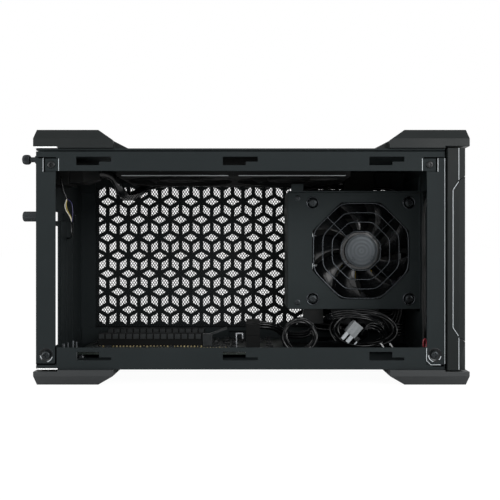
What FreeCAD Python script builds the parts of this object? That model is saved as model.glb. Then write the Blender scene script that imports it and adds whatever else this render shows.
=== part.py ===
import FreeCAD
import Part
import Sketcher

import math
import os

# Mini PC case, seen from its open side: +X is the front, -Y the open side, +Z up.
# Lengths are millimetres. The floor is z = 0 and the origin is the middle of the footprint.

SIZES = {
    # Whole case
    "case_length": 326.0,
    "case_width": 150.0,
    "case_height": 192.0,
    "thumb_reach": 14.0,
    # Sheet-metal chassis
    "gauge": 1.0,
    "panel_depth": 3.0,
    "rear_setback": 1.4,
    "foot_height": 12.0,
    "handle_height": 14.0,
    "bottom_cover_gauge": 1.1,
    "top_cover_gauge": 1.6,
    "top_cover_stand": 0.7,
    "cover_stand_inset": 8.0,
    "cover_stand_width": 6.0,
    "bottom_rail": 15.4,
    "top_rail": 14.7,
    "top_strip": 4.2,
    "rear_post": 14.6,
    "front_post": 13.5,
    "post_strip": 5.6,
    "post_round": 3.0,
    "corner_gap": 0.75,
    "notch_lip": 2.1,
    "lug_lap": 5.0,
    "tab_width": 10.4,
    "tab_height": 9.3,
    "tab_recess": 0.4,
    # Slots in the rails for the side panel's hooks
    "hook_first": 30.1,
    "hook_pitch": 110.0,
    "hook_wide": 17.3,
    "hook_tail": 9.0,
    "hook_tall": 6.3,
    "hook_tail_top": 3.7,
    "hook_tail_bottom": 2.2,
    "hook_edge_top": 4.0,
    "hook_edge_bottom": 5.8,
    # Screw seats
    "screw_clear": 0.1,
    "dimple_radius": 5.0,
    "dimple_depth": 0.7,
    "bottom_screw_x": 7.5,
    "bottom_screw_z": 9.7,
    # Expansion slots in the rear wall
    "slot_first": -17.25,
    "slot_pitch": 20.32,
    "slot_width": 14.4,
    "slot_bottom": 23.0,
    "slot_top": 121.5,
    "slot_bar": 3.8,
    "slot_window": 8.0,
    "cover_blade": 18.4,
    "blade_gauge": 0.86,
    "blade_lap": 3.0,
    "blade_tab": 5.0,
    "retainer_gauge": 1.2,
    "retainer_height": 8.0,
    "retainer_ear": 12.0,
    "lock_screw_y": -52.0,
    "lock_screw_z": 127.7,
    "lock_screw_radius": 3.95,
    "lock_screw_stem": 2.5,
    "lock_screw_stem_length": 1.7,
    # Side panel and its filter
    "panel_gauge": 0.8,
    "panel_fit": 0.3,
    "panel_flange": 14.0,
    "panel_flange_inset": 5.0,
    "panel_hem": 1.9,
    "hook_neck": 1.2,
    "hook_length": 7.0,
    "hook_head": 1.5,
    "hook_head_tall": 5.3,
    "hook_inset": 0.5,
    "pattern_start": 15.5,
    "pattern_period": 19.76,
    "pattern_bar": 3.7,
    "pattern_centre_z": 96.3,
    "filter_gauge": 0.6,
    "filter_margin": 4.0,
    "filter_bar": 2.0,
    "panel_screw_y": 62.0,
    "panel_screw_drop": 0.9,
    "panel_screw_rise": 12.0,
    "panel_screw_base": 3.0,
    "panel_screw_base_length": 3.3,
    "panel_screw_stem": 2.0,
    "panel_screw_stem_length": 3.4,
    "panel_screw_head": 3.8,
    "panel_screw_head_length": 6.4,
    "panel_screw_thread": 1.7,
    "panel_screw_thread_length": 4.0,
    # Handles, feet and pads
    "bar_length": 59.7,
    "bar_slant": 11.7,
    "bar_slant_height": 8.3,
    "foot_slant_height": 7.0,
    "bar_chamfer": 1.7,
    "bar_crease": 7.0,
    "bar_lean": 4.0,
    "bar_gap": 1.2,
    "bar_overhang": 18.1,
    "bar_toe": 10.6,
    "bar_cap": 7.0,
    "pad_height": 0.5,
    "pad_length": 36.0,
    "pad_width": 14.0,
    "pad_inset_x": 7.0,
    "pad_inset_y": 9.0,
    # Front bezel, insert and ports
    "bezel_setback": 3.0,
    "bezel_depth": 13.6,
    "bezel_gap": 1.1,
    "bezel_wall": 2.4,
    "bezel_taper": 5.5,
    "bezel_taper_depth": 1.6,
    "insert_depth": 10.0,
    "insert_step": 5.6,
    "insert_tip_top": 20.8,
    "insert_tip_bottom": 21.0,
    "insert_step_rise": 3.8,
    "insert_neck_rise": 10.4,
    "insert_wall": 2.0,
    "insert_fit": 0.25,
    "vent_slot": 5.0,
    "vent_pitch": 10.0,
    "vent_margin": 9.0,
    "boss_radius": 3.0,
    "boss_inset": 10.0,
    "port_height": 10.9,
    "port_clear": 0.25,
    "port_proud": 0.4,
    "usb_wide": 13.2,
    "usb_tall": 5.8,
    "usb_skin": 0.4,
    "usb_first_y": -18.0,
    "usb_pitch": 20.0,
    "usb_c_y": 22.0,
    "usb_c_wide": 9.0,
    "usb_c_tall": 3.2,
    "jack_y": 38.0,
    "jack_radius": 3.2,
    "jack_bore": 1.78,
    "board_gauge": 1.6,
    "io_board_back": 1.6,
    "io_board_half": 54.0,
    "io_board_height": 12.0,
    "io_post_y": 50.0,
    "io_post_radius": 2.5,
    "button_y": -40.0,
    "button_radius": 5.5,
    "button_fit": 0.3,
    "button_proud": 0.8,
    "button_flange": 6.2,
    "button_flange_height": 1.2,
    "button_stem": 2.0,
    "button_travel": 1.0,
    "switch_side": 6.0,
    # Power supply
    "psu_length": 125.0,
    "psu_depth": 63.5,
    "psu_height": 100.0,
    "psu_front_gap": 3.5,
    "psu_back_gap": 0.3,
    "psu_bottom": 51.0,
    "psu_fit": 2.0,
    "psu_wall": 1.0,
    "grille_half": 41.5,
    "grille_corner": 24.5,
    "grille_wire": 1.6,
    "grille_ring": 40.7,
    "grille_ring_pitch": 8.03,
    "grille_rings": 4.0,
    "grille_eyelet": 3.6,
    "cap_radius": 14.0,
    "cap_height": 2.4,
    "inlet_length": 27.0,
    "inlet_width": 20.0,
    "inlet_wall": 2.0,
    "inlet_rim": 2.0,
    "inlet_rim_height": 1.5,
    "inlet_depth": 16.0,
    "psu_inlet_x": 66.5,
    "psu_inlet_y": 55.0,
    "rocker_x": 97.0,
    "rocker_length": 15.0,
    "rocker_width": 9.0,
    "rocker_frame": 2.0,
    "rocker_height": 5.0,
    "rocker_proud": 1.2,
    "rocker_tilt": 9.0,
    "rocker_fit": 0.35,
    "rocker_pin": 1.2,
    "shaft_clear": 0.05,
    "socket_depth": 9.0,
    "socket_height": 5.5,
    "socket_proud": 2.0,
    "socket_y": 47.0,
    "socket_first": 16.0,
    "socket_length": 18.0,
    "socket_pitch": 25.0,
    "socket_plug": 14.0,
    "bracket_gauge": 1.2,
    "bracket_overlap": 3.0,
    "bracket_flange": 12.0,
    "bracket_ear": 10.3,
    "bracket_ear_inset": 2.7,
    "bracket_ear_height": 7.0,
    "core_gap": 3.0,
    # Fans
    "fan_side": 92.0,
    "fan_thick": 15.0,
    "fan_bore": 44.0,
    "fan_tip_gap": 1.2,
    "fan_hub": 18.0,
    "fan_hole_pitch": 41.25,
    "fan_base": 3.0,
    "fan_strut": 4.0,
    "fan_hub_gap": 0.4,
    "fan_shaft": 1.5,
    "fan_first": 55.6,
    "fan_blade_gauge": 1.2,
    # Baseboard
    "board_rear": 18.6,
    "board_length": 171.0,
    "board_near": -30.0,
    "board_far": 66.0,
    "standoff_height": 3.0,
    "standoff_radius": 3.0,
    "standoff_inset": 5.0,
    "card_slot_rear": 30.3,
    "card_slot_length": 89.0,
    "card_slot_width": 7.5,
    "card_slot_height": 11.25,
    "card_slot_offset": 8.4,
    "card_groove": 1.9,
    "card_groove_depth": 8.0,
    "card_key_start": 13.0,
    "card_key": 1.8,
    "power_socket_x": 157.2,
    "power_socket_length": 11.6,
    "power_socket_near": -20.0,
    "power_socket_width": 51.6,
    "power_socket_height": 12.8,
    "power_plug_height": 9.0,
    # Mains inlet and leads
    "inlet_y": -27.0,
    "inlet_z": 163.3,
    "boot_length": 22.0,
    "boot_end": 10.0,
    "mains_lead": 7.4,
    "mains_plug_height": 20.0,
    "graphics_lead": 6.0,
    "drive_lead": 4.6,
    "board_lead": 8.0,
    "coil_radius": 16.0,
    "coil_hole": 8.5,
    "coil_width": 12.0,
}

doc = FreeCAD.newDocument("mini_pc_case")
sheet = doc.addObject("Spreadsheet::Sheet", "sizes")
for row, (alias, number) in enumerate(SIZES.items(), start=1):
    sheet.set(f"A{row}", alias)
    sheet.set(f"B{row}", str(number))
    sheet.setAlias(f"B{row}", alias)
doc.recompute()


class Size:
    """A length that is both a number and the spreadsheet expression it comes from."""

    def __init__(self, value, text):
        self.value = float(value)
        self.text = text

    def __float__(self):
        return self.value

    def __add__(self, other):
        other = as_size(other)
        return Size(self.value + other.value, f"({self.text} + {other.text})")

    def __sub__(self, other):
        other = as_size(other)
        return Size(self.value - other.value, f"({self.text} - {other.text})")

    def __mul__(self, other):
        other = as_size(other)
        return Size(self.value * other.value, f"{self.text} * {other.text}")

    def __truediv__(self, other):
        other = as_size(other)
        return Size(self.value / other.value, f"{self.text} / {other.text}")

    def __neg__(self):
        return Size(-self.value, f"(-1 * {self.text})")

    def __radd__(self, other):
        return as_size(other) + self

    def __rsub__(self, other):
        return as_size(other) - self

    __rmul__ = __mul__


def as_size(value):
    """Return a plain number as a Size, and a Size as it is."""
    if isinstance(value, Size):
        return value
    return Size(value, f"({value!r})")


class Sheet:
    """Reads the spreadsheet's cells as Sizes by their aliases."""

    def __getattr__(self, alias):
        return Size(sheet.get(alias), f"sizes.{alias}")


S = Sheet()
NODES = []
V = FreeCAD.Vector
AXIS_TURN = {
    "X": FreeCAD.Rotation(V(0, 1, 0), 90),
    "Y": FreeCAD.Rotation(V(1, 0, 0), -90),
    "Z": FreeCAD.Rotation(),
    "boot": FreeCAD.Rotation(V(0, 0, -1), V(1, 0, 0), V(0, -1, 0), "YXZ"),
}
CHORD_TURN = math.radians(35)


def bind(item, path, size):
    """Tie one property of a document object to its expression."""
    item.setExpression(path, as_size(size).text)


def put(item, x, y, z):
    """Tie an object's place to three Sizes."""
    for axis, size in zip("xyz", (x, y, z)):
        bind(item, f"Placement.Base.{axis}", size)


def node(name, item):
    """Register an object as a finished piece under its file name."""
    item.Label = name
    NODES.append((name, item))
    return item


def rect(u0, u1, v0, v1):
    """Return the four corners of a rectangle."""
    return [(u0, v0), (u1, v0), (u1, v1), (u0, v1)]


def square(u, v, half):
    """Return a square about a point."""
    return rect(u - half, u + half, v - half, v + half)


def body(name):
    return doc.addObject("PartDesign::Body", name)


def draw_loop(sketch, points):
    """Draw one closed outline whose corners are tied to their expressions."""
    first = sketch.GeometryCount
    count = len(points)
    ends = [V(float(u), float(v), 0) for u, v in points]
    sketch.addGeometry([Part.LineSegment(ends[i], ends[(i + 1) % count]) for i in range(count)], False)
    for i in range(count):
        sketch.addConstraint(Sketcher.Constraint("Coincident", first + i, 2, first + (i + 1) % count, 1))
    for i, (u, v) in enumerate(points):
        for kind, size in (("DistanceX", u), ("DistanceY", v)):
            mark = sketch.addConstraint(Sketcher.Constraint(kind, first + i, 1, float(size)))
            bind(sketch, f"Constraints[{mark}]", size)


def draw_circle(sketch, u, v, radius):
    """Draw one circle tied to its centre and radius."""
    mark = sketch.addGeometry(Part.Circle(V(float(u), float(v), 0), V(0, 0, 1), float(radius)), False)
    for kind, size in (("DistanceX", u), ("DistanceY", v)):
        tie = sketch.addConstraint(Sketcher.Constraint(kind, mark, 3, float(size)))
        bind(sketch, f"Constraints[{tie}]", size)
    tie = sketch.addConstraint(Sketcher.Constraint("Radius", mark, float(radius)))
    bind(sketch, f"Constraints[{tie}]", radius)


def draw(owner, plane, level, loops, circles):
    """Make a sketch on one of the body's own planes, at a level along the plane's normal."""
    sketch = owner.newObject("Sketcher::SketchObject", f"{owner.Name}_outline")
    support = [plane_ for plane_ in owner.Origin.OriginFeatures if plane_.Role == f"{plane}_Plane"][0]
    sketch.AttachmentSupport = [(support, "")]
    sketch.MapMode = "FlatFace"
    bind(sketch, "AttachmentOffset.Base.z", level)
    for points in loops:
        draw_loop(sketch, points)
    for circle in circles:
        draw_circle(sketch, *circle)
    return sketch


def pad(owner, plane, low, high, loops=(), circles=()):
    """Add material between two places along the plane's axis."""
    level = -as_size(high) if plane == "XZ" else low
    feature = owner.newObject("PartDesign::Pad", f"{owner.Name}_pad")
    feature.Profile = draw(owner, plane, level, loops, circles)
    bind(feature, "Length", as_size(high) - low)
    owner.Tip = feature
    return feature


def pocket(owner, plane, low, high, loops=(), circles=()):
    """Take material away between two places along the plane's axis."""
    level = -as_size(low) if plane == "XZ" else high
    feature = owner.newObject("PartDesign::Pocket", f"{owner.Name}_pocket")
    feature.Profile = draw(owner, plane, level, loops, circles)
    bind(feature, "Length", as_size(high) - low)
    owner.Tip = feature
    return feature


def both_sides(action, owner, low, high, loops=(), circles=()):
    """Pad or pocket the same outline on the near side and on the far side."""
    action(owner, "XZ", -as_size(high), -as_size(low), loops, circles)
    action(owner, "XZ", low, high, loops, circles)


def fillet(owner, radius, points):
    """Round the edges that pass through the given points."""
    doc.recompute()
    base = owner.Tip
    probes = [Part.Vertex(V(*[float(size) for size in point])) for point in points]
    names = []
    for index, edge in enumerate(base.Shape.Edges, start=1):
        if any(edge.distToShape(probe)[0] < 1e-4 for probe in probes):
            names.append(f"Edge{index}")
    feature = owner.newObject("PartDesign::Fillet", f"{owner.Name}_round")
    feature.Base = (base, names)
    bind(feature, "Radius", radius)
    owner.Tip = feature
    return feature


def box(x, y, z, name="block"):
    """Return a box between three spans."""
    item = doc.addObject("Part::Box", name)
    for prop, span in (("Length", x), ("Width", y), ("Height", z)):
        bind(item, prop, as_size(span[1]) - span[0])
    put(item, x[0], y[0], z[0])
    return item


def rod(axis, centre, span, radius, name="rod"):
    """Return a cylinder along an axis: its centre in the other two axes, then its span."""
    item = doc.addObject("Part::Cylinder", name)
    item.Placement = FreeCAD.Placement(V(), AXIS_TURN[axis])
    bind(item, "Radius", radius)
    bind(item, "Height", as_size(span[1]) - span[0])
    place = list(centre)
    place.insert("XYZ".index(axis), span[0])
    put(item, *place)
    return item


def prism(axis, centre, span, radius, sides, name="prism"):
    """Return a many-sided bar along an axis, with its corners on the radius."""
    item = doc.addObject("Part::Prism", name)
    item.Placement = FreeCAD.Placement(V(), AXIS_TURN[axis])
    item.Polygon = sides
    bind(item, "Circumradius", radius)
    bind(item, "Height", as_size(span[1]) - span[0])
    place = list(centre)
    place.insert("XYZ".index(axis), span[0])
    put(item, *place)
    return item


def join(*items, name="joined"):
    """Fuse several objects into one solid."""
    item = doc.addObject("Part::MultiFuse", name)
    item.Shapes = list(items)
    item.Refine = True
    return item


def group(*items, name="set"):
    """Keep several separate solids in one object."""
    item = doc.addObject("Part::Compound", name)
    item.Links = list(items)
    return item


def cut(base, *tools, name="cut"):
    """Take one or more objects out of another."""
    item = doc.addObject("Part::Cut", name)
    item.Base = base
    item.Tool = tools[0] if len(tools) == 1 else group(*tools)
    return item


def solid(name, shape):
    """Return a document object that holds a shape made by code."""
    item = doc.addObject("Part::Feature", name)
    item.Shape = shape
    return item


# Places that several pieces share
half_width = S.case_width / 2
rear_end = (S.thumb_reach - S.case_length) / 2
front_end = rear_end + S.case_length
rear_x = rear_end + S.rear_setback
bezel_front = front_end - S.bezel_setback
bezel_rear = bezel_front - S.bezel_depth
front_x = bezel_rear - S.bezel_gap
rail_y = half_width - S.panel_depth
inner_y = rail_y - S.gauge
tray_bottom = S.foot_height + S.bottom_cover_gauge
cover_top = S.case_height - S.handle_height
tray_top = cover_top - S.top_cover_gauge - S.top_cover_stand
floor_z = tray_bottom + S.gauge
roof_z = tray_top - S.gauge
notch_z = tray_bottom + S.notch_lip
rail_bottom_top = tray_bottom + S.bottom_rail
rail_top_low = tray_top - S.top_rail
strip_z = tray_top - S.top_strip
post_bottom = notch_z + S.corner_gap
post_top = strip_z - S.corner_gap
tab_gap_z = rail_top_low - S.corner_gap
tab_rear_x = rear_x + S.post_strip + S.corner_gap
tab_front_x = front_x - S.post_strip - S.corner_gap
rear_post_x = rear_x + S.rear_post
front_post_x = front_x - S.front_post
bottom_screw_rear = rear_x + S.bottom_screw_x
bottom_screw_front = front_x - S.bottom_screw_x
bottom_screw_z = tray_bottom + S.bottom_screw_z
psu_x1 = bezel_front - S.psu_front_gap
psu_x0 = psu_x1 - S.psu_length
psu_y1 = inner_y - S.psu_back_gap
psu_y0 = psu_y1 - S.psu_depth
psu_z0 = S.psu_bottom
psu_z1 = psu_z0 + S.psu_height
psu_mid_x = psu_x0 + S.psu_length / 2
psu_mid_z = psu_z0 + S.psu_height / 2
board_z0 = floor_z + S.standoff_height
board_z1 = board_z0 + S.board_gauge
fan_rear_x = rear_x + S.fan_first + S.fan_side / 2
fan_front_x = fan_rear_x + S.fan_side
panel_x1 = bezel_rear - S.panel_fit
panel_z0 = tray_bottom + S.panel_fit
panel_z1 = tray_top - S.panel_fit
panel_inner = half_width - S.panel_gauge
hook_xs = [rear_x + S.hook_first + S.hook_pitch * count for count in range(3)]
hook_top_high = tray_top - S.hook_edge_top
hook_top_low = hook_top_high - S.hook_tall
hook_bottom_low = tray_bottom + S.hook_edge_bottom
hook_bottom_high = hook_bottom_low + S.hook_tall
slot_ys = [S.slot_first + S.slot_pitch * count for count in range(4)]
slot_window_low = S.slot_top + S.slot_bar
slot_window_high = slot_window_low + S.slot_window
panel_screw_top = post_top - S.panel_screw_drop + S.corner_gap
panel_screw_low = post_bottom + S.panel_screw_rise


def hook_slots():
    """Return the L-shaped outlines for the top rail and for the bottom rail."""
    top = []
    bottom = []
    for x in hook_xs:
        wide = x + S.hook_wide
        tail = wide + S.hook_tail
        step = hook_top_high - S.hook_tail_top
        low, high = hook_top_low, hook_top_high
        top.append([(x, low), (wide, low), (wide, step), (tail, step), (tail, high), (x, high)])
        step = hook_bottom_low + S.hook_tail_bottom
        low, high = hook_bottom_low, hook_bottom_high
        bottom.append([(x, low), (tail, low), (tail, step), (wide, step), (wide, high), (x, high)])
    return top, bottom


def bottom_vents():
    """Return the intake slots under the power supply, shared by tray and cover."""
    loops = []
    for count in range(6):
        x = psu_x0 + S.vent_margin + S.vent_pitch * count
        loops.append(rect(x, x + S.vent_slot, S.vent_margin, psu_y1 - S.vent_margin))
    return loops


def fan_vents(centre):
    """Return the outlet slots over one fan, each as long as the fan's circle is there."""
    loops = []
    for count in range(-4, 5):
        x = centre + S.vent_pitch * count - S.vent_slot / 2
        reach = S.fan_bore - S.vent_pitch * abs(count) * 0.45
        loops.append(rect(x, x + S.vent_slot, -reach, reach))
    return loops


def make_bottom_tray():
    slots = hook_slots()[1]
    rear_notch = rear_post_x + S.corner_gap
    front_notch = front_post_x - S.corner_gap
    tray = body("bottom_tray")
    plate = rect(rear_x, front_x, -rail_y, rail_y)
    pad(tray, "XY", tray_bottom, floor_z, [plate] + bottom_vents())
    rail = [
        (rear_x, tray_bottom),
        (front_x, tray_bottom),
        (front_x, notch_z),
        (front_notch, notch_z),
        (front_notch, rail_bottom_top),
        (rear_notch, rail_bottom_top),
        (rear_notch, notch_z),
        (rear_x, notch_z),
    ]
    both_sides(pad, tray, inner_y, rail_y, [rail] + slots)
    lug_rear = rect(rear_x + S.gauge * 2, rear_notch + S.lug_lap, tray_bottom, rail_bottom_top)
    lug_front = rect(front_notch - S.lug_lap, front_x - S.gauge * 2, tray_bottom, rail_bottom_top)
    both_sides(pad, tray, inner_y - S.gauge, inner_y, [lug_rear])
    both_sides(pad, tray, inner_y - S.gauge, inner_y, [lug_front])
    node("bottom_tray", tray)


def make_top_tray():
    slots = hook_slots()[0]
    tray = body("top_tray_sheet")
    plate = rect(rear_x, front_x, -rail_y, rail_y)
    pad(tray, "XY", roof_z, tray_top, [plate])
    rail = [
        (rear_x, tray_top),
        (rear_x, strip_z),
        (tab_rear_x, strip_z),
        (tab_rear_x, rail_top_low),
        (tab_front_x, rail_top_low),
        (tab_front_x, strip_z),
        (front_x, strip_z),
        (front_x, tray_top),
    ]
    both_sides(pad, tray, inner_y, rail_y, [rail] + slots)
    tab_top = rail_top_low + S.tab_height
    tab_rear = rect(tab_rear_x, tab_rear_x + S.tab_width, rail_top_low, tab_top)
    tab_front = rect(tab_front_x - S.tab_width, tab_front_x, rail_top_low, tab_top)
    both_sides(pocket, tray, rail_y - S.tab_recess, rail_y, [tab_rear, tab_front])
    bores = [prism("Z", (x, as_size(0)), (roof_z, tray_top), S.fan_bore, 36) for x in (fan_rear_x, fan_front_x)]
    node("top_tray", cut(tray, *bores))


def wall_outline():
    """Return the outline of an end wall: full width between the rails, narrower at them."""
    return [
        (-inner_y, floor_z),
        (inner_y, floor_z),
        (inner_y, post_bottom),
        (rail_y, post_bottom),
        (rail_y, post_top),
        (inner_y, post_top),
        (inner_y, roof_z),
        (-inner_y, roof_z),
        (-inner_y, post_top),
        (-rail_y, post_top),
        (-rail_y, post_bottom),
        (-inner_y, post_bottom),
    ]


def dimples(x):
    """Return the round sinkings that seat a screw in both posts."""
    floor = rail_y - S.dimple_depth
    near = prism("Y", (x, bottom_screw_z), (-rail_y, -floor), S.dimple_radius, 20)
    far = prism("Y", (x, bottom_screw_z), (floor, rail_y), S.dimple_radius, 20)
    return near, far


def add_posts(wall, outline, lug, corner):
    """Add both folded posts of an end wall, with the lugs behind the top rail's tabs."""
    both_sides(pad, wall, inner_y, rail_y, [outline])
    both_sides(pad, wall, inner_y - S.gauge, inner_y, [lug])
    middle = rail_y - S.gauge / 2
    fillet(wall, S.post_round, [(corner, -middle, post_bottom), (corner, middle, post_bottom)])


def make_rear_wall():
    strip_x = rear_x + S.post_strip
    wall = body("rear_wall_sheet")
    loops = [wall_outline()]
    for y in slot_ys:
        left, right = y - S.slot_width / 2, y + S.slot_width / 2
        loops.append(rect(left, right, S.slot_bottom, S.slot_top))
        loops.append(rect(left, right, slot_window_low, slot_window_high))
    fit = S.inlet_length / 2 + S.insert_fit, S.inlet_width / 2 + S.insert_fit
    loops.append(rect(S.inlet_y - fit[0], S.inlet_y + fit[0], S.inlet_z - fit[1], S.inlet_z + fit[1]))
    thread = S.panel_screw_thread + S.screw_clear
    loops.append(square(S.lock_screw_y, S.lock_screw_z, thread))
    for y in (-S.panel_screw_y, S.panel_screw_y):
        loops.append(square(y, panel_screw_top, thread))
    loops.append(square(S.panel_screw_y, panel_screw_low, thread))
    pad(wall, "YZ", rear_x, rear_x + S.gauge, loops)
    outline = [
        (rear_x, post_bottom),
        (rear_post_x, post_bottom),
        (rear_post_x, tab_gap_z),
        (strip_x, tab_gap_z),
        (strip_x, post_top),
        (rear_x, post_top),
    ]
    lug = rect(rear_x, rear_post_x, tab_gap_z - S.lug_lap, post_top)
    add_posts(wall, outline, lug, rear_post_x)
    node("rear_wall", cut(wall, *dimples(bottom_screw_rear)))


def make_front_wall():
    strip_x = front_x - S.post_strip
    wall = body("front_wall_sheet")
    fit = S.psu_fit
    window = rect(psu_y0 - fit, inner_y, psu_z0 - fit, psu_z1 + fit)
    intake = rect(-inner_y + S.boss_inset, psu_y0 - S.boss_inset, psu_z0 - S.boss_inset, psu_z1)
    pad(wall, "YZ", front_x - S.gauge, front_x, [wall_outline(), window, intake])
    outline = [
        (front_x, post_bottom),
        (front_x, post_top),
        (strip_x, post_top),
        (strip_x, tab_gap_z),
        (front_post_x, tab_gap_z),
        (front_post_x, post_bottom),
    ]
    lug = rect(front_post_x, front_x, tab_gap_z - S.lug_lap, post_top)
    add_posts(wall, outline, lug, front_post_x)
    node("front_wall", cut(wall, *dimples(bottom_screw_front)))


def make_covers():
    low = body("bottom_cover")
    plate = rect(rear_x, front_x, -rail_y, rail_y)
    pad(low, "XY", S.foot_height, tray_bottom, [plate] + bottom_vents())
    node("bottom_cover", low)
    top = body("top_cover")
    vents = fan_vents(fan_rear_x) + fan_vents(fan_front_x)
    pad(top, "XY", cover_top - S.top_cover_gauge, cover_top, [plate] + vents)
    edge = rail_y - S.cover_stand_inset
    for side in (-1, 1):
        outer, inner = edge * side, (edge - S.cover_stand_width) * side
        stand = rect(rear_x + S.cover_stand_inset, front_x - S.cover_stand_inset, outer, inner)
        pad(top, "XY", tray_top, cover_top - S.top_cover_gauge, [stand])
    node("top_cover", top)


def bar_profile(outer, inward, base, outward, toe):
    """Return a bar's side outline, worked from its outer end, inwards along X and away from the case."""
    deep = S.handle_height if toe else S.foot_height - S.pad_height
    slant = deep - (S.bar_slant_height if toe else S.foot_slant_height)
    crease = deep - S.bar_crease
    points = [
        (outer + inward * S.bar_overhang, base),
        (outer + inward * S.bar_overhang, base + outward * S.bar_gap),
        (outer, base + outward * S.bar_gap),
        (outer, base + outward * crease),
        (outer + inward * S.bar_chamfer, base + outward * deep),
        (outer + inward * (S.bar_length - S.bar_slant), base + outward * deep),
        (outer + inward * S.bar_length, base + outward * slant),
    ]
    if toe:
        points.append((outer + inward * (S.bar_length + S.bar_toe), base + outward * S.bar_gap / 4))
        points.append((outer + inward * (S.bar_length + S.bar_toe), base))
    else:
        points.append((outer + inward * S.bar_length, base))
    return points


def make_bar(name, outer, inward, base, outward, toe):
    """Make one handle or foot: a moulded bar across the case with leaning ends."""
    bar = body(name)
    pad(bar, "XZ", -half_width, half_width, [bar_profile(outer, inward, base, outward, toe)])
    deep = S.handle_height if toe else S.foot_height - S.pad_height
    far = base + outward * deep
    crease = base + outward * (deep - S.bar_crease)
    low, high = (outer, outer + inward * S.bar_length)
    if inward < 0:
        low, high = high, low
    low = low - S.bar_toe
    high = high + S.bar_toe
    for side in (-1, 1):
        edge = half_width * side
        lean = [(edge, crease), (edge, far), (edge - S.bar_lean * side, far)]
        pocket(bar, "YZ", low, high, [lean])
    if toe:
        edge = outer + inward * S.bar_length
        tip = outer + inward * (S.bar_length + S.bar_toe)
        both_sides(pocket, bar, half_width - S.bar_cap, half_width, [rect(edge, tip, base, base + deep)])
    node(name, bar)


def make_bars():
    make_bar("rear_handle", rear_end, 1, cover_top, 1, True)
    make_bar("front_handle", front_end, -1, cover_top, 1, True)
    make_bar("rear_foot", rear_end, 1, S.foot_height, -1, False)
    make_bar("front_foot", front_end, -1, S.foot_height, -1, False)
    pads = []
    for outer, inward in ((rear_end, 1), (front_end, -1)):
        start = outer + inward * S.pad_inset_x
        ends = (start, start + inward * S.pad_length)
        if inward < 0:
            ends = (ends[1], ends[0])
        for side in (-1, 1):
            edge = (half_width - S.pad_inset_y) * side
            span = (edge, edge - S.pad_width * side)
            if side > 0:
                span = (span[1], span[0])
            pads.append(box(ends, span, (as_size(0), S.pad_height)))
    node("foot_pads", group(*pads))


def insert_profile(gap):
    """Return the side outline of the front insert, or of its opening with a gap all round."""
    tip_top = cover_top - S.insert_tip_top + gap
    tip_bottom = S.foot_height + S.insert_tip_bottom - gap
    back = bezel_front - S.insert_depth - gap
    step = bezel_front - S.insert_step - gap
    return [
        (bezel_front, tip_bottom),
        (bezel_front, tip_top),
        (step, tip_top - S.insert_step_rise),
        (back, tip_top - S.insert_neck_rise),
        (back, tip_bottom + S.insert_neck_rise),
        (step, tip_bottom + S.insert_step_rise),
    ]


def port_places():
    """Return the openings of the ports in the bezel as rectangles, in Y and Z."""
    centre = cover_top - S.port_height
    loops = []
    for y in (S.usb_first_y, S.usb_first_y + S.usb_pitch):
        loops.append((y, centre, S.usb_wide / 2, S.usb_tall / 2))
    loops.append((S.usb_c_y, centre, S.usb_c_wide / 2, S.usb_c_tall / 2))
    return loops


def make_bezel():
    front_inner = bezel_front - S.bezel_wall
    port_z = cover_top - S.port_height
    bezel = body("front_bezel")
    pad(bezel, "YZ", bezel_rear, bezel_front, [rect(-half_width, half_width, S.foot_height, cover_top)])
    wall = S.bezel_wall + S.bezel_taper_depth
    hollow = rect(wall - half_width, half_width - wall, S.foot_height + wall, cover_top - wall)
    pocket(bezel, "YZ", bezel_rear, front_inner, [hollow])
    pocket(bezel, "XZ", -half_width, half_width, [insert_profile(as_size(0))])
    taper_x = bezel_front - S.bezel_taper
    for side in (-1, 1):
        edge = half_width * side
        taper = [(taper_x, edge), (bezel_front, edge), (bezel_front, edge - S.bezel_taper_depth * side)]
        pocket(bezel, "XY", S.foot_height, cover_top, [taper])
    gap = S.port_clear
    holes = [rect(y - w - gap, y + w + gap, z - h - gap, z + h + gap) for y, z, w, h in port_places()]
    circles = [
        (S.jack_y, port_z, S.jack_radius + gap),
        (S.button_y, port_z, S.button_radius + S.button_fit),
    ]
    pocket(bezel, "YZ", front_inner, bezel_front, holes, circles)
    boss_y = half_width - S.boss_inset
    bosses = []
    for side_y in (-1, 1):
        for z in (S.foot_height + S.boss_inset, cover_top - S.boss_inset):
            bosses.append(square(boss_y * side_y, z, S.boss_radius))
    pad(bezel, "YZ", front_x, front_inner, bosses)
    io_back = bezel_rear + S.io_board_back + S.board_gauge
    posts = [square(S.io_post_y * side, port_z, S.io_post_radius) for side in (-1, 1)]
    pad(bezel, "YZ", io_back, front_inner, posts)
    node("front_bezel", bezel)


def make_insert():
    insert = body("front_insert")
    side_y = half_width - S.insert_fit
    inner = side_y - S.insert_wall
    front_inner = bezel_front - S.insert_wall
    pad(insert, "XZ", -side_y, side_y, [insert_profile(-S.insert_fit)])
    back = bezel_front - S.insert_depth - S.insert_wall
    pocket(insert, "YZ", back, front_inner, [rect(-inner, inner, S.foot_height, cover_top)])
    taper_x = bezel_front - S.bezel_taper
    for side in (-1, 1):
        edge = half_width * side
        taper = [(taper_x, edge), (bezel_front, edge), (bezel_front, edge - S.bezel_taper_depth * side)]
        pocket(insert, "XY", S.foot_height, cover_top, [taper])
    low = S.foot_height + S.insert_tip_bottom + S.vent_margin
    high = cover_top - S.insert_tip_top - S.vent_margin
    middle = (low + high) / 2
    loops = []
    for count in range(-6, 7):
        y = S.vent_pitch * count
        loops.append(rect(y - S.vent_slot / 2, y + S.vent_slot / 2, low, middle - S.vent_slot / 2))
        loops.append(rect(y - S.vent_slot / 2, y + S.vent_slot / 2, middle + S.vent_slot / 2, high))
    pocket(insert, "YZ", front_inner, bezel_front, loops)
    node("front_insert", insert)


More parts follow.
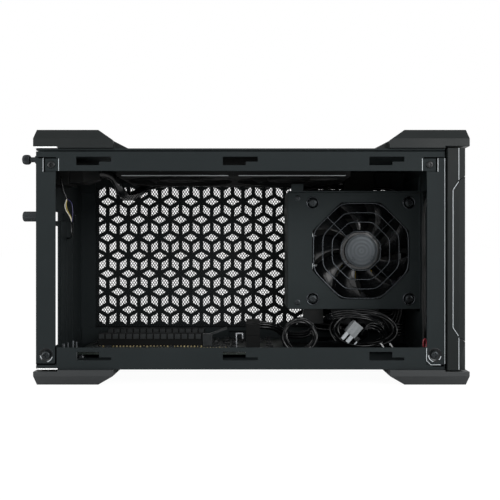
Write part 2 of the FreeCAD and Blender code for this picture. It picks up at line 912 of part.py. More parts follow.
def make_front_ports():
    port_z = cover_top - S.port_height
    back = bezel_rear + S.io_board_back
    face = back + S.board_gauge
    out = bezel_front + S.port_proud
    half = S.io_board_height / 2
    board = box((back, face), (-S.io_board_half, S.io_board_half), (port_z - half, port_z + half))
    side = S.switch_side / 2
    switch_top = bezel_front - S.bezel_wall - S.button_fit - S.button_flange_height
    switch_top = switch_top - S.button_travel * 2 - S.button_fit
    switch = box((face, switch_top), (S.button_y - side, S.button_y + side), (port_z - side, port_z + side))
    node("io_board", join(board, switch))
    shells = []
    for y, z, wide, tall in port_places():
        skin = S.usb_skin
        shell = box((face, out), (y - wide, y + wide), (z - tall, z + tall))
        mouth = box((face + skin, out), (y - wide + skin, y + wide - skin), (z - tall + skin, z + tall - skin))
        tongue_half = tall / 4
        tongue = box((face, out - skin * 3), (y - wide / 2, y + wide / 2), (z - tongue_half, z + tongue_half))
        shells.append(join(cut(shell, mouth), tongue))
    node("usb_ports", group(*shells))
    jack = prism("X", (S.jack_y, port_z), (face, out), S.jack_radius, 18)
    bore = prism("X", (S.jack_y, port_z), (face + S.usb_skin, out), S.jack_bore, 18)
    node("audio_jack", cut(jack, bore))
    inner = bezel_front - S.bezel_wall - S.button_fit
    flange_back = inner - S.button_flange_height
    centre = (S.button_y, port_z)
    cap = prism("X", centre, (inner, bezel_front + S.button_proud), S.button_radius, 24)
    flange = prism("X", centre, (flange_back, inner), S.button_flange, 24)
    stem = prism("X", centre, (flange_back - S.button_travel, flange_back), S.button_stem, 12)
    node("power_button", join(cap, flange, stem))


def make_slot_hardware():
    blade_x0 = rear_x + S.gauge
    blade_x1 = blade_x0 + S.blade_gauge
    tab_z = slot_window_low
    blades = []
    for y in slot_ys[1:]:
        side = S.cover_blade / 2
        tab_side = S.slot_width / 2 - S.panel_fit
        blade = box((blade_x0, blade_x1), (y - side, y + side), (S.slot_bottom - S.blade_lap, tab_z + S.blade_gauge))
        tab = box((rear_x - S.blade_tab, blade_x1), (y - tab_side, y + tab_side), (tab_z, tab_z + S.blade_gauge))
        blades.append(join(blade, tab))
    node("slot_covers", group(*blades))
    clamp = tab_z + S.blade_gauge
    bar_low = slot_window_high
    bar_high = bar_low + S.retainer_height
    finger = S.slot_width / 2 + S.panel_fit
    ear = S.retainer_ear / 2
    ear_low = S.lock_screw_z - ear
    points = [(S.lock_screw_y - ear, bar_high), (S.lock_screw_y - ear, ear_low)]
    points += [(S.lock_screw_y + ear, ear_low), (S.lock_screw_y + ear, bar_low)]
    for y in slot_ys[1:]:
        points += [(y - finger, bar_low), (y - finger, clamp), (y + finger, clamp), (y + finger, bar_low)]
    end = slot_ys[-1] + S.slot_width / 2
    points += [(end, bar_low), (end, bar_high)]
    retainer = body("slot_retainer")
    hole = square(S.lock_screw_y, S.lock_screw_z, S.panel_screw_thread + S.screw_clear)
    pad(retainer, "YZ", rear_x - S.retainer_gauge, rear_x, [points, hole])
    node("slot_retainer", retainer)
    centre = (S.lock_screw_y, S.lock_screw_z)
    face = rear_x - S.retainer_gauge
    stem_end = face - S.lock_screw_stem_length
    head = prism("X", centre, (rear_end - S.thumb_reach, stem_end), S.lock_screw_radius, 18)
    stem = prism("X", centre, (stem_end, face), S.lock_screw_stem, 12)
    thread = prism("X", centre, (face, rear_x + S.gauge + S.panel_screw_thread_length), S.panel_screw_thread, 12)
    near = panel_screw(-S.panel_screw_y, panel_screw_top, rear_x)
    node("rear_thumbscrews", group(join(head, stem, thread), near))


def panel_screw(y, z, seat):
    """Return one knurled panel screw standing on a seat on the rear face."""
    centre = (y, z)
    base_end = seat - S.panel_screw_base_length
    stem_end = base_end - S.panel_screw_stem_length
    head_end = stem_end - S.panel_screw_head_length
    return join(
        prism("X", centre, (base_end, seat), S.panel_screw_base, 6),
        prism("X", centre, (stem_end, base_end), S.panel_screw_stem, 12),
        prism("X", centre, (head_end, stem_end), S.panel_screw_head, 18),
        prism("X", centre, (seat, rear_x + S.gauge + S.panel_screw_thread_length), S.panel_screw_thread, 12),
    )


def rhombus_holes():
    """Return the outlines of the side panel's tumbling-block cut-outs, in X and Z."""
    period = float(S.pattern_period)
    edge = period / math.sqrt(3)
    row_pitch = edge * 1.5
    bar = float(S.pattern_bar)
    shrink = 1 - bar / (edge * math.sin(math.pi / 3))
    start = float(rear_x + S.pattern_start)
    columns = 14
    rows = 8
    holes = []

    def shrunk(corners):
        cx = sum(x for x, z in corners) / len(corners)
        cz = sum(z for x, z in corners) / len(corners)
        return [(cx + (x - cx) * shrink, cz + (z - cz) * shrink) for x, z in corners]

    for row in range(rows):
        shifted = row % 2
        z = float(S.pattern_centre_z) + row_pitch * (rows / 2 - 0.5 - row) - edge / 4
        for column in range(columns + shifted):
            x = start + period * (column + 0.5 - shifted / 2)
            ring = [(x, z + edge), (x + period / 2, z + edge / 2), (x + period / 2, z - edge / 2),
                    (x, z - edge), (x - period / 2, z - edge / 2), (x - period / 2, z + edge / 2)]
            at_start = shifted and column == 0
            at_end = shifted and column == columns
            if not at_end:
                holes.append(shrunk([(x, z), ring[2], ring[1], ring[0]]))
            if not at_start:
                holes.append(shrunk([(x, z), ring[0], ring[5], ring[4]]))
            if row == rows - 1:
                continue
            flat = shrunk([(x, z), ring[4], ring[3], ring[2]])
            if at_start or at_end:
                side = 1 if at_start else -1
                half_wide = period / 2 * shrink
                tall = edge / 2 * shrink * (1 - bar / 2 / half_wide)
                middle = z - edge / 2
                clip = x + bar / 2 * side
                flat = [(clip, middle - tall), (x + half_wide * side, middle), (clip, middle + tall)]
            holes.append(flat)
    return holes


def flat_wire(points, y):
    """Return a closed wire through points in X and Z, at one Y."""
    ends = [V(float(x), float(y), float(z)) for x, z in points]
    return Part.makePolygon(ends + ends[:1])


def sheet_with_holes(outline, holes, low, high):
    """Return a flat sheet between two Y places, with its holes cut by their outlines."""
    outer = Part.Face(flat_wire(outline, low))
    face = outer.cut(Part.makeCompound([Part.Face(flat_wire(points, low)) for points in holes]))
    return face.Faces[0].extrude(V(0, float(high) - float(low), 0))


def make_side_panel():
    outline = rect(rear_x - S.panel_fit, panel_x1, panel_z0, panel_z1)
    panel = solid("perforated_sheet", sheet_with_holes(outline, rhombus_holes(), panel_inner, half_width))
    x_span = (rear_x - S.panel_fit, panel_x1)
    hem_y = (panel_inner - S.panel_hem, panel_inner)
    parts = [
        panel,
        box(x_span, hem_y, (panel_z0, panel_z0 + S.panel_gauge)),
        box(x_span, hem_y, (panel_z1 - S.panel_gauge, panel_z1)),
    ]
    flange_x = (rear_x - S.panel_fit - S.panel_gauge, rear_x - S.panel_fit)
    flange_z = (panel_z0 + S.panel_flange_inset, panel_z1)
    flange = box(flange_x, (half_width - S.panel_flange - S.panel_depth, half_width), flange_z)
    thread = S.panel_screw_thread + S.screw_clear
    bores = [rod("X", (S.panel_screw_y, z), flange_x, thread) for z in (panel_screw_top, panel_screw_low)]
    parts.append(cut(flange, *bores))
    head_y = (inner_y - S.panel_fit - S.hook_head, inner_y - S.panel_fit)
    for x in hook_xs:
        middle = x + S.hook_wide + S.hook_tail / 2
        span = (middle - S.hook_length / 2, middle + S.hook_length / 2)
        top = hook_top_high - S.hook_inset
        low = hook_bottom_low + S.hook_inset
        parts.append(box(span, (head_y[0], panel_inner), (top - S.hook_neck, top)))
        parts.append(box(span, head_y, (top - S.hook_head_tall, top)))
        parts.append(box(span, (head_y[0], panel_inner), (low, low + S.hook_neck)))
        parts.append(box(span, head_y, (low, low + S.hook_head_tall)))
    node("side_panel", join(*parts))
    seat = flange_x[0]
    node("panel_thumbscrews", group(*[panel_screw(S.panel_screw_y, z, seat)
                                      for z in (panel_screw_top, panel_screw_low)]))


def make_side_filter():
    columns = 8
    rows = 4
    tall = S.pattern_period * (math.sqrt(3) / 2 * 8)
    x0 = rear_x + S.pattern_start - S.filter_margin
    x1 = rear_x + S.pattern_start + S.pattern_period * 14 + S.filter_margin
    z0 = S.pattern_centre_z - tall / 2
    z1 = S.pattern_centre_z + tall / 2
    bar = float(S.filter_bar)
    wide = (float(x1 - x0) - bar) / columns
    high = (float(z1 - z0) - bar) / rows
    holes = []
    for column in range(columns):
        for row in range(rows):
            x = float(x0) + bar + wide * column
            z = float(z0) + bar + high * row
            holes.append(rect(x, x + wide - bar, z, z + high - bar))
    shape = sheet_with_holes(rect(x0, x1, z0, z1), holes, panel_inner - S.filter_gauge, panel_inner)
    node("side_filter", solid("side_filter", shape))


def place_body(item, x, y, z, turn):
    """Turn a finished body and tie its place to three Sizes."""
    item.Placement = FreeCAD.Placement(V(), turn)
    put(item, x, y, z)


def make_fan_frame(name, x, y, z, turn):
    """Make a square fan frame with a bearing boss on struts, its open face up before it is turned."""
    zero = as_size(0)
    middle = (zero, zero)
    side = S.fan_side / 2
    plate = box((-side, side), (-side, side), (zero, S.fan_thick))
    ring = cut(plate, prism("Z", middle, (zero, S.fan_thick), S.fan_bore, 36))
    reach = S.fan_bore + S.fan_base / 2
    strut = S.fan_strut / 2
    base = (zero, S.fan_base)
    along = box((-reach, reach), (-strut, strut), base)
    across = box((-strut, strut), (-reach, reach), base)
    boss = prism("Z", middle, base, S.fan_hub, 27)
    bearing = rod("Z", middle, base, S.fan_shaft + S.shaft_clear)
    frame = cut(join(ring, along, across, boss), bearing)
    place_body(frame, x, y, z, turn)
    node(name, frame)


def blade_section(radius, chord, pitch, gauge, middle_z):
    """Return the four corners of a thin blade section at one radius, pitched to the fan's plane."""
    along = V(0, math.cos(pitch), math.sin(pitch)) * (chord / 2)
    across = V(0, -math.sin(pitch), math.cos(pitch)) * (gauge / 2)
    centre = V(radius, 0, middle_z)
    return [centre - along - across, centre + along - across, centre + along + across, centre - along + across]


def closed_solid(outlines):
    """Return the solid that a closed set of flat outlines bounds."""
    faces = [Part.Face(Part.makePolygon(corners + corners[:1])) for corners in outlines]
    made = Part.Solid(Part.Shell(faces))
    made.fix(1e-6, 1e-6, 1e-6)
    return made if made.Volume > 0 else made.reversed()


def twisted_plate(root, tip):
    """Return the solid between two four-cornered sections, each twisted side folded along a diagonal."""
    outlines = [root, tip]
    for i in range(4):
        j = (i + 1) % 4
        outlines.append([root[i], root[j], tip[j]])
        outlines.append([root[i], tip[j], tip[i]])
    return closed_solid(outlines)


def make_fan_rotor(name, x, y, z, turn, blades):
    """Make a hub with its shaft and a ring of twisted blades."""
    low = float(S.fan_base + S.fan_hub_gap)
    high = float(S.fan_thick - S.fan_hub_gap)
    hub_radius = float(S.fan_hub)
    tip_radius = float(S.fan_bore - S.fan_tip_gap)
    middle = (low + high) / 2
    rise = high - low - 1
    turns = [2 * math.pi / (3 * blades) * step for step in range(3 * blades)]
    rim = [V(hub_radius * math.cos(turn), hub_radius * math.sin(turn), low) for turn in turns]
    hub = Part.Face(Part.makePolygon(rim + rim[:1])).extrude(V(0, 0, high - low))
    shaft = Part.makeCylinder(float(S.fan_shaft), low, V(0, 0, 0))
    root_pitch, tip_pitch = math.radians(48), math.radians(24)
    gauge = float(S.fan_blade_gauge)
    root_chord = (rise - gauge) / math.sin(root_pitch) * 0.9
    tip_chord = (rise - gauge) / math.sin(tip_pitch) * 0.9
    tip_reach = math.sqrt(tip_radius ** 2 - (tip_chord / 2) ** 2)
    root = blade_section(hub_radius - 1, root_chord, root_pitch, gauge, middle)
    tip = blade_section(tip_reach, tip_chord, tip_pitch, gauge, middle)
    blade = twisted_plate(root, tip)
    rotor = hub.fuse(shaft)
    for count in range(blades):
        copy = blade.copy()
        copy.rotate(V(), V(0, 0, 1), 360 / blades * count)
        rotor = rotor.fuse(copy)
    item = solid(name, rotor.removeSplitter())
    place_body(item, x, y, z, turn)
    node(name, item)


def make_fans():
    down = FreeCAD.Rotation(V(1, 0, 0), 180)
    nearward = FreeCAD.Rotation(V(1, 0, 0), 90)
    for name, x in (("rear_fan", fan_rear_x), ("front_fan", fan_front_x)):
        make_fan_frame(f"{name}_frame", x, as_size(0), roof_z, down)
        make_fan_rotor(f"{name}_rotor", x, as_size(0), roof_z, down, 9)
    back = psu_y0 + S.psu_wall + S.fan_thick
    make_fan_frame("psu_fan_frame", psu_mid_x, back, psu_mid_z, nearward)
    make_fan_rotor("psu_fan_rotor", psu_mid_x, back, psu_mid_z, nearward, 9)


def make_psu_shell():
    wall = S.psu_wall
    shell = body("psu_shell")
    front = psu_y0 + wall
    pad(shell, "XZ", front, psu_y1, [rect(psu_x0, psu_x1, psu_z0, psu_z1)])
    hollow = rect(psu_x0 + wall, psu_x1 - wall, psu_z0 + wall, psu_z1 - wall)
    pocket(shell, "XZ", front, psu_y1 - wall, [hollow])
    inlet_x = psu_x0 + S.psu_inlet_x
    rocker_x = psu_x0 + S.rocker_x
    fit = S.insert_fit
    inlet = (S.inlet_length / 2 + fit, S.inlet_width / 2 + fit)
    half = (S.rocker_length / 2 + S.rocker_frame + fit, S.rocker_width / 2 + S.rocker_frame + fit)
    y = S.psu_inlet_y
    openings = [
        rect(inlet_x - inlet[0], inlet_x + inlet[0], y - inlet[1], y + inlet[1]),
        rect(rocker_x - half[0], rocker_x + half[0], y - half[1], y + half[1]),
    ]
    pocket(shell, "XY", psu_z1 - wall, psu_z1, openings)
    sockets = []
    for count in range(4):
        x = psu_x0 + S.socket_first + S.socket_pitch * count
        near, far = S.socket_y - S.socket_depth / 2 - fit, S.socket_y + S.socket_depth / 2 + fit
        sockets.append(rect(x - fit, x + S.socket_length + fit, near, far))
    pocket(shell, "XY", psu_z0, psu_z0 + wall, sockets)
    node("psu_shell", shell)


def octagon(half, corner):
    """Return an octagon about the power supply's fan, with its corners cut back."""
    flat = half - corner
    points = []
    for u, v in ((1, 0), (0, 1), (-1, 0), (0, -1)):
        side = (-v, u)
        points.append((psu_mid_x + half * u - flat * side[0], psu_mid_z + half * v - flat * side[1]))
        points.append((psu_mid_x + half * u + flat * side[0], psu_mid_z + half * v + flat * side[1]))
    return points


def make_psu_cover():
    cover = body("psu_cover")
    outline = rect(psu_x0, psu_x1, psu_z0, psu_z1)
    opening = octagon(S.grille_half, S.grille_corner)
    pad(cover, "XZ", psu_y0, psu_y0 + S.psu_wall, [outline, opening])
    node("psu_cover", cover)


def make_grille():
    """Make the finger guard: octagon rings on four diagonal spokes that end in screw eyelets."""
    wire = float(S.grille_wire)
    face = float(psu_y0)
    centre = V(float(psu_mid_x), face - wire, float(psu_mid_z))
    reach = float(S.fan_hole_pitch) * math.sqrt(2)
    eyelet = float(S.grille_eyelet)
    parts = []
    for count in range(round(float(S.grille_rings))):
        half = float(S.grille_ring - S.grille_ring_pitch * count)
        corner = half * (2 - math.sqrt(2)) * 1.1
        rings = []
        for grow in (wire / 2, -wire / 2):
            points = octagon(as_size(half + grow), as_size(corner + grow * (2 - math.sqrt(2))))
            rings.append(Part.Face(flat_wire(points, face - wire)))
        parts.append(rings[0].cut(rings[1]).extrude(V(0, wire, 0)))
    for count in range(4):
        angle = 45 + 90 * count
        spoke = Part.makeBox(reach, wire, wire, V(0, 0, -wire / 2))
        rim = [V(reach + eyelet * math.cos(turn), 0, eyelet * math.sin(turn))
               for turn in (math.pi / 6 * step for step in range(12))]
        arm = spoke.fuse(Part.Face(Part.makePolygon(rim + rim[:1])).extrude(V(0, wire, 0)))
        arm.rotate(V(), V(0, 1, 0), angle)
        arm.translate(centre)
        parts.append(arm)
    guard = parts[0].multiFuse(parts[1:])
    node("psu_grille", solid("psu_grille", guard.removeSplitter()))
    cap_back = psu_y0 - S.grille_wire
    centre = (psu_mid_x, psu_mid_z)
    node("grille_cap", prism("Y", centre, (cap_back - S.cap_height, cap_back), S.cap_radius, 36))


def socket_shell(x, y, top, depth, along_x):
    """Return an appliance inlet that opens upwards: a rim on a deep cup, with its place and turn."""
    half = (S.inlet_length / 2, S.inlet_width / 2)
    if not along_x:
        half = (half[1], half[0])
    rim = S.inlet_rim
    wall = S.inlet_wall
    cup = box((x - half[0], x + half[0]), (y - half[1], y + half[1]), (top - depth, top))
    lip_top = top + S.inlet_rim_height
    lip = box((x - half[0] - rim, x + half[0] + rim), (y - half[1] - rim, y + half[1] + rim), (top, lip_top))
    floor = top - depth + wall
    mouth = box((x - half[0] + wall, x + half[0] - wall), (y - half[1] + wall, y + half[1] - wall), (floor, lip_top))
    return cut(join(cup, lip), mouth)


def make_psu_top():
    """Make the power supply's own inlet and its rocker switch."""
    inlet_x = psu_x0 + S.psu_inlet_x
    y = S.psu_inlet_y
    node("psu_inlet", socket_shell(inlet_x, y, psu_z1, S.inlet_depth, True))
    x = psu_x0 + S.rocker_x
    half = (S.rocker_length / 2, S.rocker_width / 2)
    edge = S.rocker_frame
    fit = S.rocker_fit
    frame_low = psu_z1 - S.rocker_height
    frame_top = psu_z1 + S.inlet_rim_height
    outer = box((x - half[0] - edge, x + half[0] + edge), (y - half[1] - edge, y + half[1] + edge),
                (frame_low, frame_top))
    well = box((x - half[0], x + half[0]), (y - half[1], y + half[1]), (frame_low + edge / 2, frame_top))
    pin_bore = rod("Y", (x, psu_z1), (y - half[1] - edge / 2, y + half[1] + edge / 2),
                   S.rocker_pin + S.shaft_clear)
    node("rocker_frame", cut(outer, well, pin_bore))
    tilt = math.tan(math.radians(float(S.rocker_tilt)))
    reach = half[0] - fit * 2
    crown = psu_z1 + S.rocker_proud
    rise = reach * tilt
    keel = psu_z1 - S.rocker_pin - fit
    paddle = body("psu_rocker")
    outline = [
        (x - reach, crown + rise),
        (x, crown),
        (x + reach, crown),
        (x + reach, crown - S.rocker_proud),
        (x + S.rocker_pin * 2, keel),
        (x - S.rocker_pin * 2, keel),
        (x - reach, crown + rise - S.rocker_proud),
    ]
    pad(paddle, "XZ", y - half[1] + fit, y + half[1] - fit, [outline])
    pin_end = half[1] + edge / 2 - fit / 2
    pad(paddle, "XZ", y - pin_end, y + pin_end, circles=[(x, psu_z1, S.rocker_pin)])
    node("psu_rocker", paddle)


def make_psu_core():
    """Make what shows through the guard: circuit board, heatsinks, transformer and capacitors."""
    wall = S.psu_wall
    gap = S.core_gap
    back = psu_y1 - wall
    board_face = back - gap - S.board_gauge
    fan_back = psu_y0 + wall + S.fan_thick + gap
    x0, x1 = psu_x0 + wall + gap, psu_x1 - wall - gap
    z0, z1 = psu_z0 + wall + gap, psu_z1 - wall - gap - S.inlet_depth
    board = box((x0, x1), (board_face, board_face + S.board_gauge), (z0, z1))
    legs = []
    for x in (x0 + gap, x1 - gap):
        for z in (z0 + gap, z1 - gap):
            legs.append(prism("Y", (x, z), (board_face + S.board_gauge, back), S.standoff_radius, 6))
    node("psu_board", join(board, *legs))
    third = (x1 - x0) / 6
    sinks = []
    for count in (1, 5):
        x = x0 + third * count
        sink = body("heatsink")
        fins = []
        fin = S.standoff_height / 2
        top = fan_back + gap
        for step in range(5):
            z = z0 + gap * 2 + S.vent_pitch * step * 1.3
            fins.append((z, z + fin))
        points = [(x - fin, z0 + gap), (x - fin, z1 - gap * 4), (x, z1 - gap * 4)]
        for low, high in reversed(fins):
            points += [(x, high), (x + third / 2, high), (x + third / 2, low), (x, low)]
        points.append((x, z0 + gap))
        pad(sink, "XZ", top, board_face, [points])
        sinks.append(sink)
    node("psu_heatsinks", group(*sinks))
    middle = x0 + third * 3
    core = box((middle - third * 0.7, middle + third * 0.7), (fan_back + gap * 2, board_face),
               (z0 + third, z0 + third * 2.4))
    node("psu_transformer", core)
    cans = []
    for count in range(3):
        z = z0 + third * (0.5 if count < 2 else 3.0)
        x = middle + third * (count - 0.5 if count < 2 else 0.0)
        cans.append(prism("Y", (x, z), (fan_back + gap * 3, board_face), third * 0.38, 16))
    node("psu_capacitors", group(*cans))


def make_psu_sockets():
    sockets = []
    plugs = []
    half = S.socket_depth / 2
    for count in range(4):
        x = psu_x0 + S.socket_first + S.socket_pitch * count
        low = psu_z0 - S.socket_proud
        span = (x, x + S.socket_length)
        sockets.append(box(span, (S.socket_y - half, S.socket_y + half), (low, low + S.socket_height)))
        if count < 3:
            plugs.append(box(span, (S.socket_y - half, S.socket_y + half), (low - S.socket_plug, low)))
    node("psu_sockets", group(*sockets))
    node("psu_lead_plugs", group(*plugs))


def make_psu_bracket():
    bracket = body("psu_bracket")
    near = psu_y0 - S.bracket_overlap
    top = psu_z1 + S.bracket_gauge
    wall_face = front_x - S.gauge
    x = psu_x0 + S.psu_inlet_x - S.inlet_length / 2 - S.inlet_rim - S.insert_fit
    x1 = psu_x0 + S.rocker_x + S.rocker_length / 2 + S.rocker_frame + S.insert_fit * 2
    y_half = S.inlet_width / 2 + S.inlet_rim + S.insert_fit
    window = rect(x, x1, S.psu_inlet_y - y_half, S.psu_inlet_y + y_half)
    pad(bracket, "XY", psu_z1, top, [rect(psu_x0, wall_face, near, psu_y1), window])
    flange_end = inner_y - S.gauge - S.psu_back_gap
    flange = rect(near, flange_end, psu_z1, top + S.bracket_flange)
    pad(bracket, "YZ", wall_face - S.bracket_gauge, wall_face, [flange])
    ear_x = psu_x0 + S.bracket_ear_inset
    ear = rect(ear_x, ear_x + S.bracket_ear, psu_z1, psu_z1 + S.bracket_ear_height)
    pad(bracket, "XZ", near, near + S.bracket_gauge, [ear])
    node("psu_bracket", bracket)


def make_baseboard():
    x0 = rear_x + S.board_rear
    x1 = x0 + S.board_length
    board = box((x0, x1), (S.board_near, S.board_far), (board_z0, board_z1))
    node("baseboard", board)
    posts = []
    for x in (x0 + S.standoff_inset, x0 + S.board_length / 2, x1 - S.standoff_inset):
        for y in (S.board_near + S.standoff_inset, S.board_far - S.standoff_inset):
            posts.append(prism("Z", (x, y), (floor_z, board_z0), S.standoff_radius, 6))
    node("board_standoffs", group(*posts))
    start = rear_x + S.card_slot_rear
    end = start + S.card_slot_length
    for name, slot in (("near_card_slot", slot_ys[1]), ("far_card_slot", slot_ys[3])):
        y = slot + S.card_slot_offset
        side = S.card_slot_width / 2
        connector = body(name)
        top = board_z1 + S.card_slot_height
        pad(connector, "XY", board_z1, top, [rect(start, end, y - side, y + side)])
        groove = S.card_groove / 2
        key = start + S.card_key_start
        grooves = [
            rect(start + groove * 2, key, y - groove, y + groove),
            rect(key + S.card_key, end - groove * 2, y - groove, y + groove),
        ]
        pocket(connector, "XY", top - S.card_groove_depth, top, grooves)
        node(name, connector)
    x = rear_x + S.power_socket_x
    span_y = (S.power_socket_near, S.power_socket_near + S.power_socket_width)
    span_x = (x, x + S.power_socket_length)
    top = board_z1 + S.power_socket_height
    node("board_power_socket", box(span_x, span_y, (board_z1, top)))
    node("board_power_plug", box(span_x, span_y, (top, top + S.power_plug_height)))


def cord_tube(name, points, diameter):
    """Make an eight-sided lead, its bends short chords of the largest arcs that its runs allow."""
    stops = [V(*[float(size) for size in point]) for point in points]
    path = [stops[0]]
    radii = []
    for before, corner, after in zip(stops, stops[1:], stops[2:]):
        into = (corner - before).normalize()
        out = (after - corner).normalize()
        turn = into.getAngle(out)
        trim = 0.45 * min((corner - before).Length, (after - corner).Length)
        radius = trim / math.tan(turn / 2)
        radii.append(round(radius, 1))
        axis = into.cross(out).normalize()
        arm = into.cross(axis) * radius
        centre = corner - into * trim - arm
        chords = math.ceil(turn / CHORD_TURN)
        for step in range(chords + 1):
            path.append(centre + FreeCAD.Rotation(axis, math.degrees(turn) * step / chords).multVec(arm))
    path.append(stops[-1])
    runs = [(after - before).normalize() for before, after in zip(path, path[1:])]
    across = runs[0].cross(V(0, 0, 1) if abs(runs[0].z) < 0.9 else V(1, 0, 0)).normalize()
    up = runs[0].cross(across)
    turns = [math.pi / 4 * step for step in range(8)]
    reach = float(diameter) / 2
    rims = [[path[0] + (across * math.cos(turn) + up * math.sin(turn)) * reach for turn in turns]]
    for corner, into, out in zip(path[1:], runs, runs[1:] + runs[-1:]):
        mitre = (into + out).normalize()
        rims.append([spot + into * ((corner - spot).dot(mitre) / into.dot(mitre)) for spot in rims[-1]])
    outlines = [rims[0], rims[-1]]
    for first, second in zip(rims, rims[1:]):
        for i in range(8):
            j = (i + 1) % 8
            outlines.append([first[i], first[j], second[j], second[i]])
    length = sum((after - before).Length for before, after in zip(path, path[1:]))
    print(name, "radii", radii, "length", round(length, 1))
    return solid(name, closed_solid(outlines))


def make_mains():
    """Make the rear inlet, the plug boot behind it, the lead and the plug on the power supply."""
    half = (S.inlet_length / 2, S.inlet_width / 2)
    y, z = S.inlet_y, S.inlet_z
    back = rear_x + S.inlet_depth + S.gauge
    rim = S.inlet_rim
    wall = S.inlet_wall
    face = rear_x - S.inlet_rim_height
    cup = box((rear_x, back), (y - half[0], y + half[0]), (z - half[1], z + half[1]))
    lip = box((face, rear_x), (y - half[0] - rim, y + half[0] + rim), (z - half[1] - rim / 2, z + half[1] + rim / 2))
    mouth = box((face, back - wall), (y - half[0] + wall, y + half[0] - wall), (z - half[1] + wall, z + half[1] - wall))
    node("mains_inlet", cut(join(cup, lip), mouth))
    boot_end = back + S.boot_length
    grip_end = back + S.boot_length / 2
    grip = box((back, grip_end), (y - half[0] + wall, y + half[0] - wall), (z - half[1] + wall, z + half[1] - wall))
    tail = doc.addObject("Part::Wedge", "boot_tail")
    tail.Placement = FreeCAD.Placement(V(), AXIS_TURN["boot"])
    for prop, size in (("Xmin", wall - half[1]), ("Xmax", half[1] - wall), ("Zmin", wall - half[0]), ("Zmax", half[0] - wall),
                       ("X2min", -S.boot_end / 2), ("X2max", S.boot_end / 2), ("Z2min", -S.boot_end / 2),
                       ("Z2max", S.boot_end / 2), ("Ymin", as_size(0)), ("Ymax", boot_end - grip_end)):
        bind(tail, prop, size)
    put(tail, grip_end, y, z)
    node("mains_boot", join(grip, tail))
    plug_x = psu_x0 + S.psu_inlet_x
    plug_y = S.psu_inlet_y
    plug_low = psu_z1 + S.inlet_rim_height
    plug_high = plug_low + S.mains_plug_height
    node("mains_plug", box((plug_x - half[0], plug_x + half[0]), (plug_y - half[1], plug_y + half[1]),
                           (plug_low, plug_high)))
    fan_edge = fan_rear_x - S.fan_side / 2
    fan_low = roof_z - S.fan_thick
    past_fan = S.fan_side / 2 + S.mains_lead * 1.6
    entry = plug_low + S.mains_plug_height / 2
    route = [
        (boot_end, y, z),
        (fan_edge - S.mains_lead * 0.9, y, z),
        (fan_edge + S.mains_lead * 0.05, y, fan_low - S.mains_lead * 1.5),
        (fan_edge + S.mains_lead * 0.8, y / 10, fan_low - S.mains_lead * 1.7),
        (fan_edge + S.mains_lead * 1.8, past_fan - S.mains_lead * 1.9, fan_low - S.mains_lead * 1.3),
        (fan_edge + S.mains_lead * 3.4, past_fan, fan_low + S.mains_lead * 0.3),
        (fan_edge + S.fan_side / 2, past_fan, entry + S.mains_lead * 0.3),
        (plug_x - half[0] - S.mains_lead * 7, past_fan, entry),
        (plug_x - half[0] - S.mains_lead * 2, plug_y, entry),
        (plug_x - half[0], plug_y, entry),
    ]
    node("mains_lead", cord_tube("mains_lead", route, S.mains_lead))


def make_inner_leads():
    """Make the three leads that leave the power supply's sockets, and what two of them end in."""
    plug_low = psu_z0 - S.socket_proud - S.socket_plug
    exits = []
    for count in range(3):
        exits.append(psu_x0 + S.socket_first + S.socket_pitch * count + S.socket_length / 2)
    y = S.socket_y
    lay = floor_z + S.board_lead
    socket_end = rear_x + S.power_socket_x + S.power_socket_length
    socket_y = S.power_socket_near + S.power_socket_width * 0.8
    entry = board_z1 + S.power_socket_height + S.power_plug_height / 2
    route = [
        (exits[0], y, plug_low),
        (exits[0], y, lay + S.board_lead * 0.3),
        (exits[0] - S.board_lead * 3.2, y - S.board_lead, lay + S.board_lead * 0.3),
        (socket_end + S.board_lead * 1.6, socket_y, entry),
        (socket_end, socket_y, entry),
    ]
    node("board_lead", cord_tube("board_lead", route, S.board_lead))
    coil_z = floor_z + S.coil_radius + S.panel_fit
    coil_x = exits[0] - S.coil_radius
    coil_far = -S.coil_width / 2
    ring = prism("Y", (coil_x, coil_z), (coil_far - S.coil_width, coil_far), S.coil_radius, 16)
    hole = prism("Y", (coil_x, coil_z), (coil_far - S.coil_width, coil_far), S.coil_hole, 16)
    node("drive_coil", cut(ring, hole))
    coil_edge = coil_x + (S.coil_radius + S.coil_hole) / 2
    route = [
        (exits[1], y, plug_low),
        (exits[1], y, lay),
        (coil_edge + S.drive_lead, S.coil_width * 1.5, lay),
        (coil_edge, coil_far + S.coil_width * 0.8, coil_z),
        (coil_edge, coil_far, coil_z),
    ]
    node("drive_lead", cord_tube("drive_lead", route, S.drive_lead))
    head_x = exits[1] + S.graphics_lead * 0.4
    head_z = coil_z + S.graphics_lead * 0.6
    head = box((head_x - S.socket_length / 2, head_x + S.socket_length / 2),
               (coil_far - S.coil_width, coil_far), (head_z - S.socket_depth / 2, head_z + S.socket_depth / 2))
    node("graphics_plug", head)
    route = [
        (exits[2], y, plug_low),
        (exits[2], y, lay),
        (head_x + S.graphics_lead * 0.6, S.coil_width * 1.6, lay),
        (head_x, coil_far + S.coil_width * 0.9, head_z),
        (head_x, coil_far, head_z),
    ]
    node("graphics_lead", cord_tube("graphics_lead", route, S.graphics_lead))


def export_all():
    """Check every object and write each finished piece to its own file."""
    doc.recompute()
    for item in doc.Objects:
        if "Invalid" in item.State or "Error" in item.State:
            raise RuntimeError(f"{item.Label} failed: {item.State}")
    os.makedirs("parts", exist_ok=True)
    for name, item in NODES:
        shape = item.Shape
        if shape.isNull() or not shape.isValid() or not shape.Solids:
            raise RuntimeError(f"{name} has no valid solid")
        if item.Label != name:
            raise RuntimeError(f"{name} is labelled {item.Label}")
        shape.exportStep(f"parts/{name}.step")
    print(len(NODES), "pieces written")


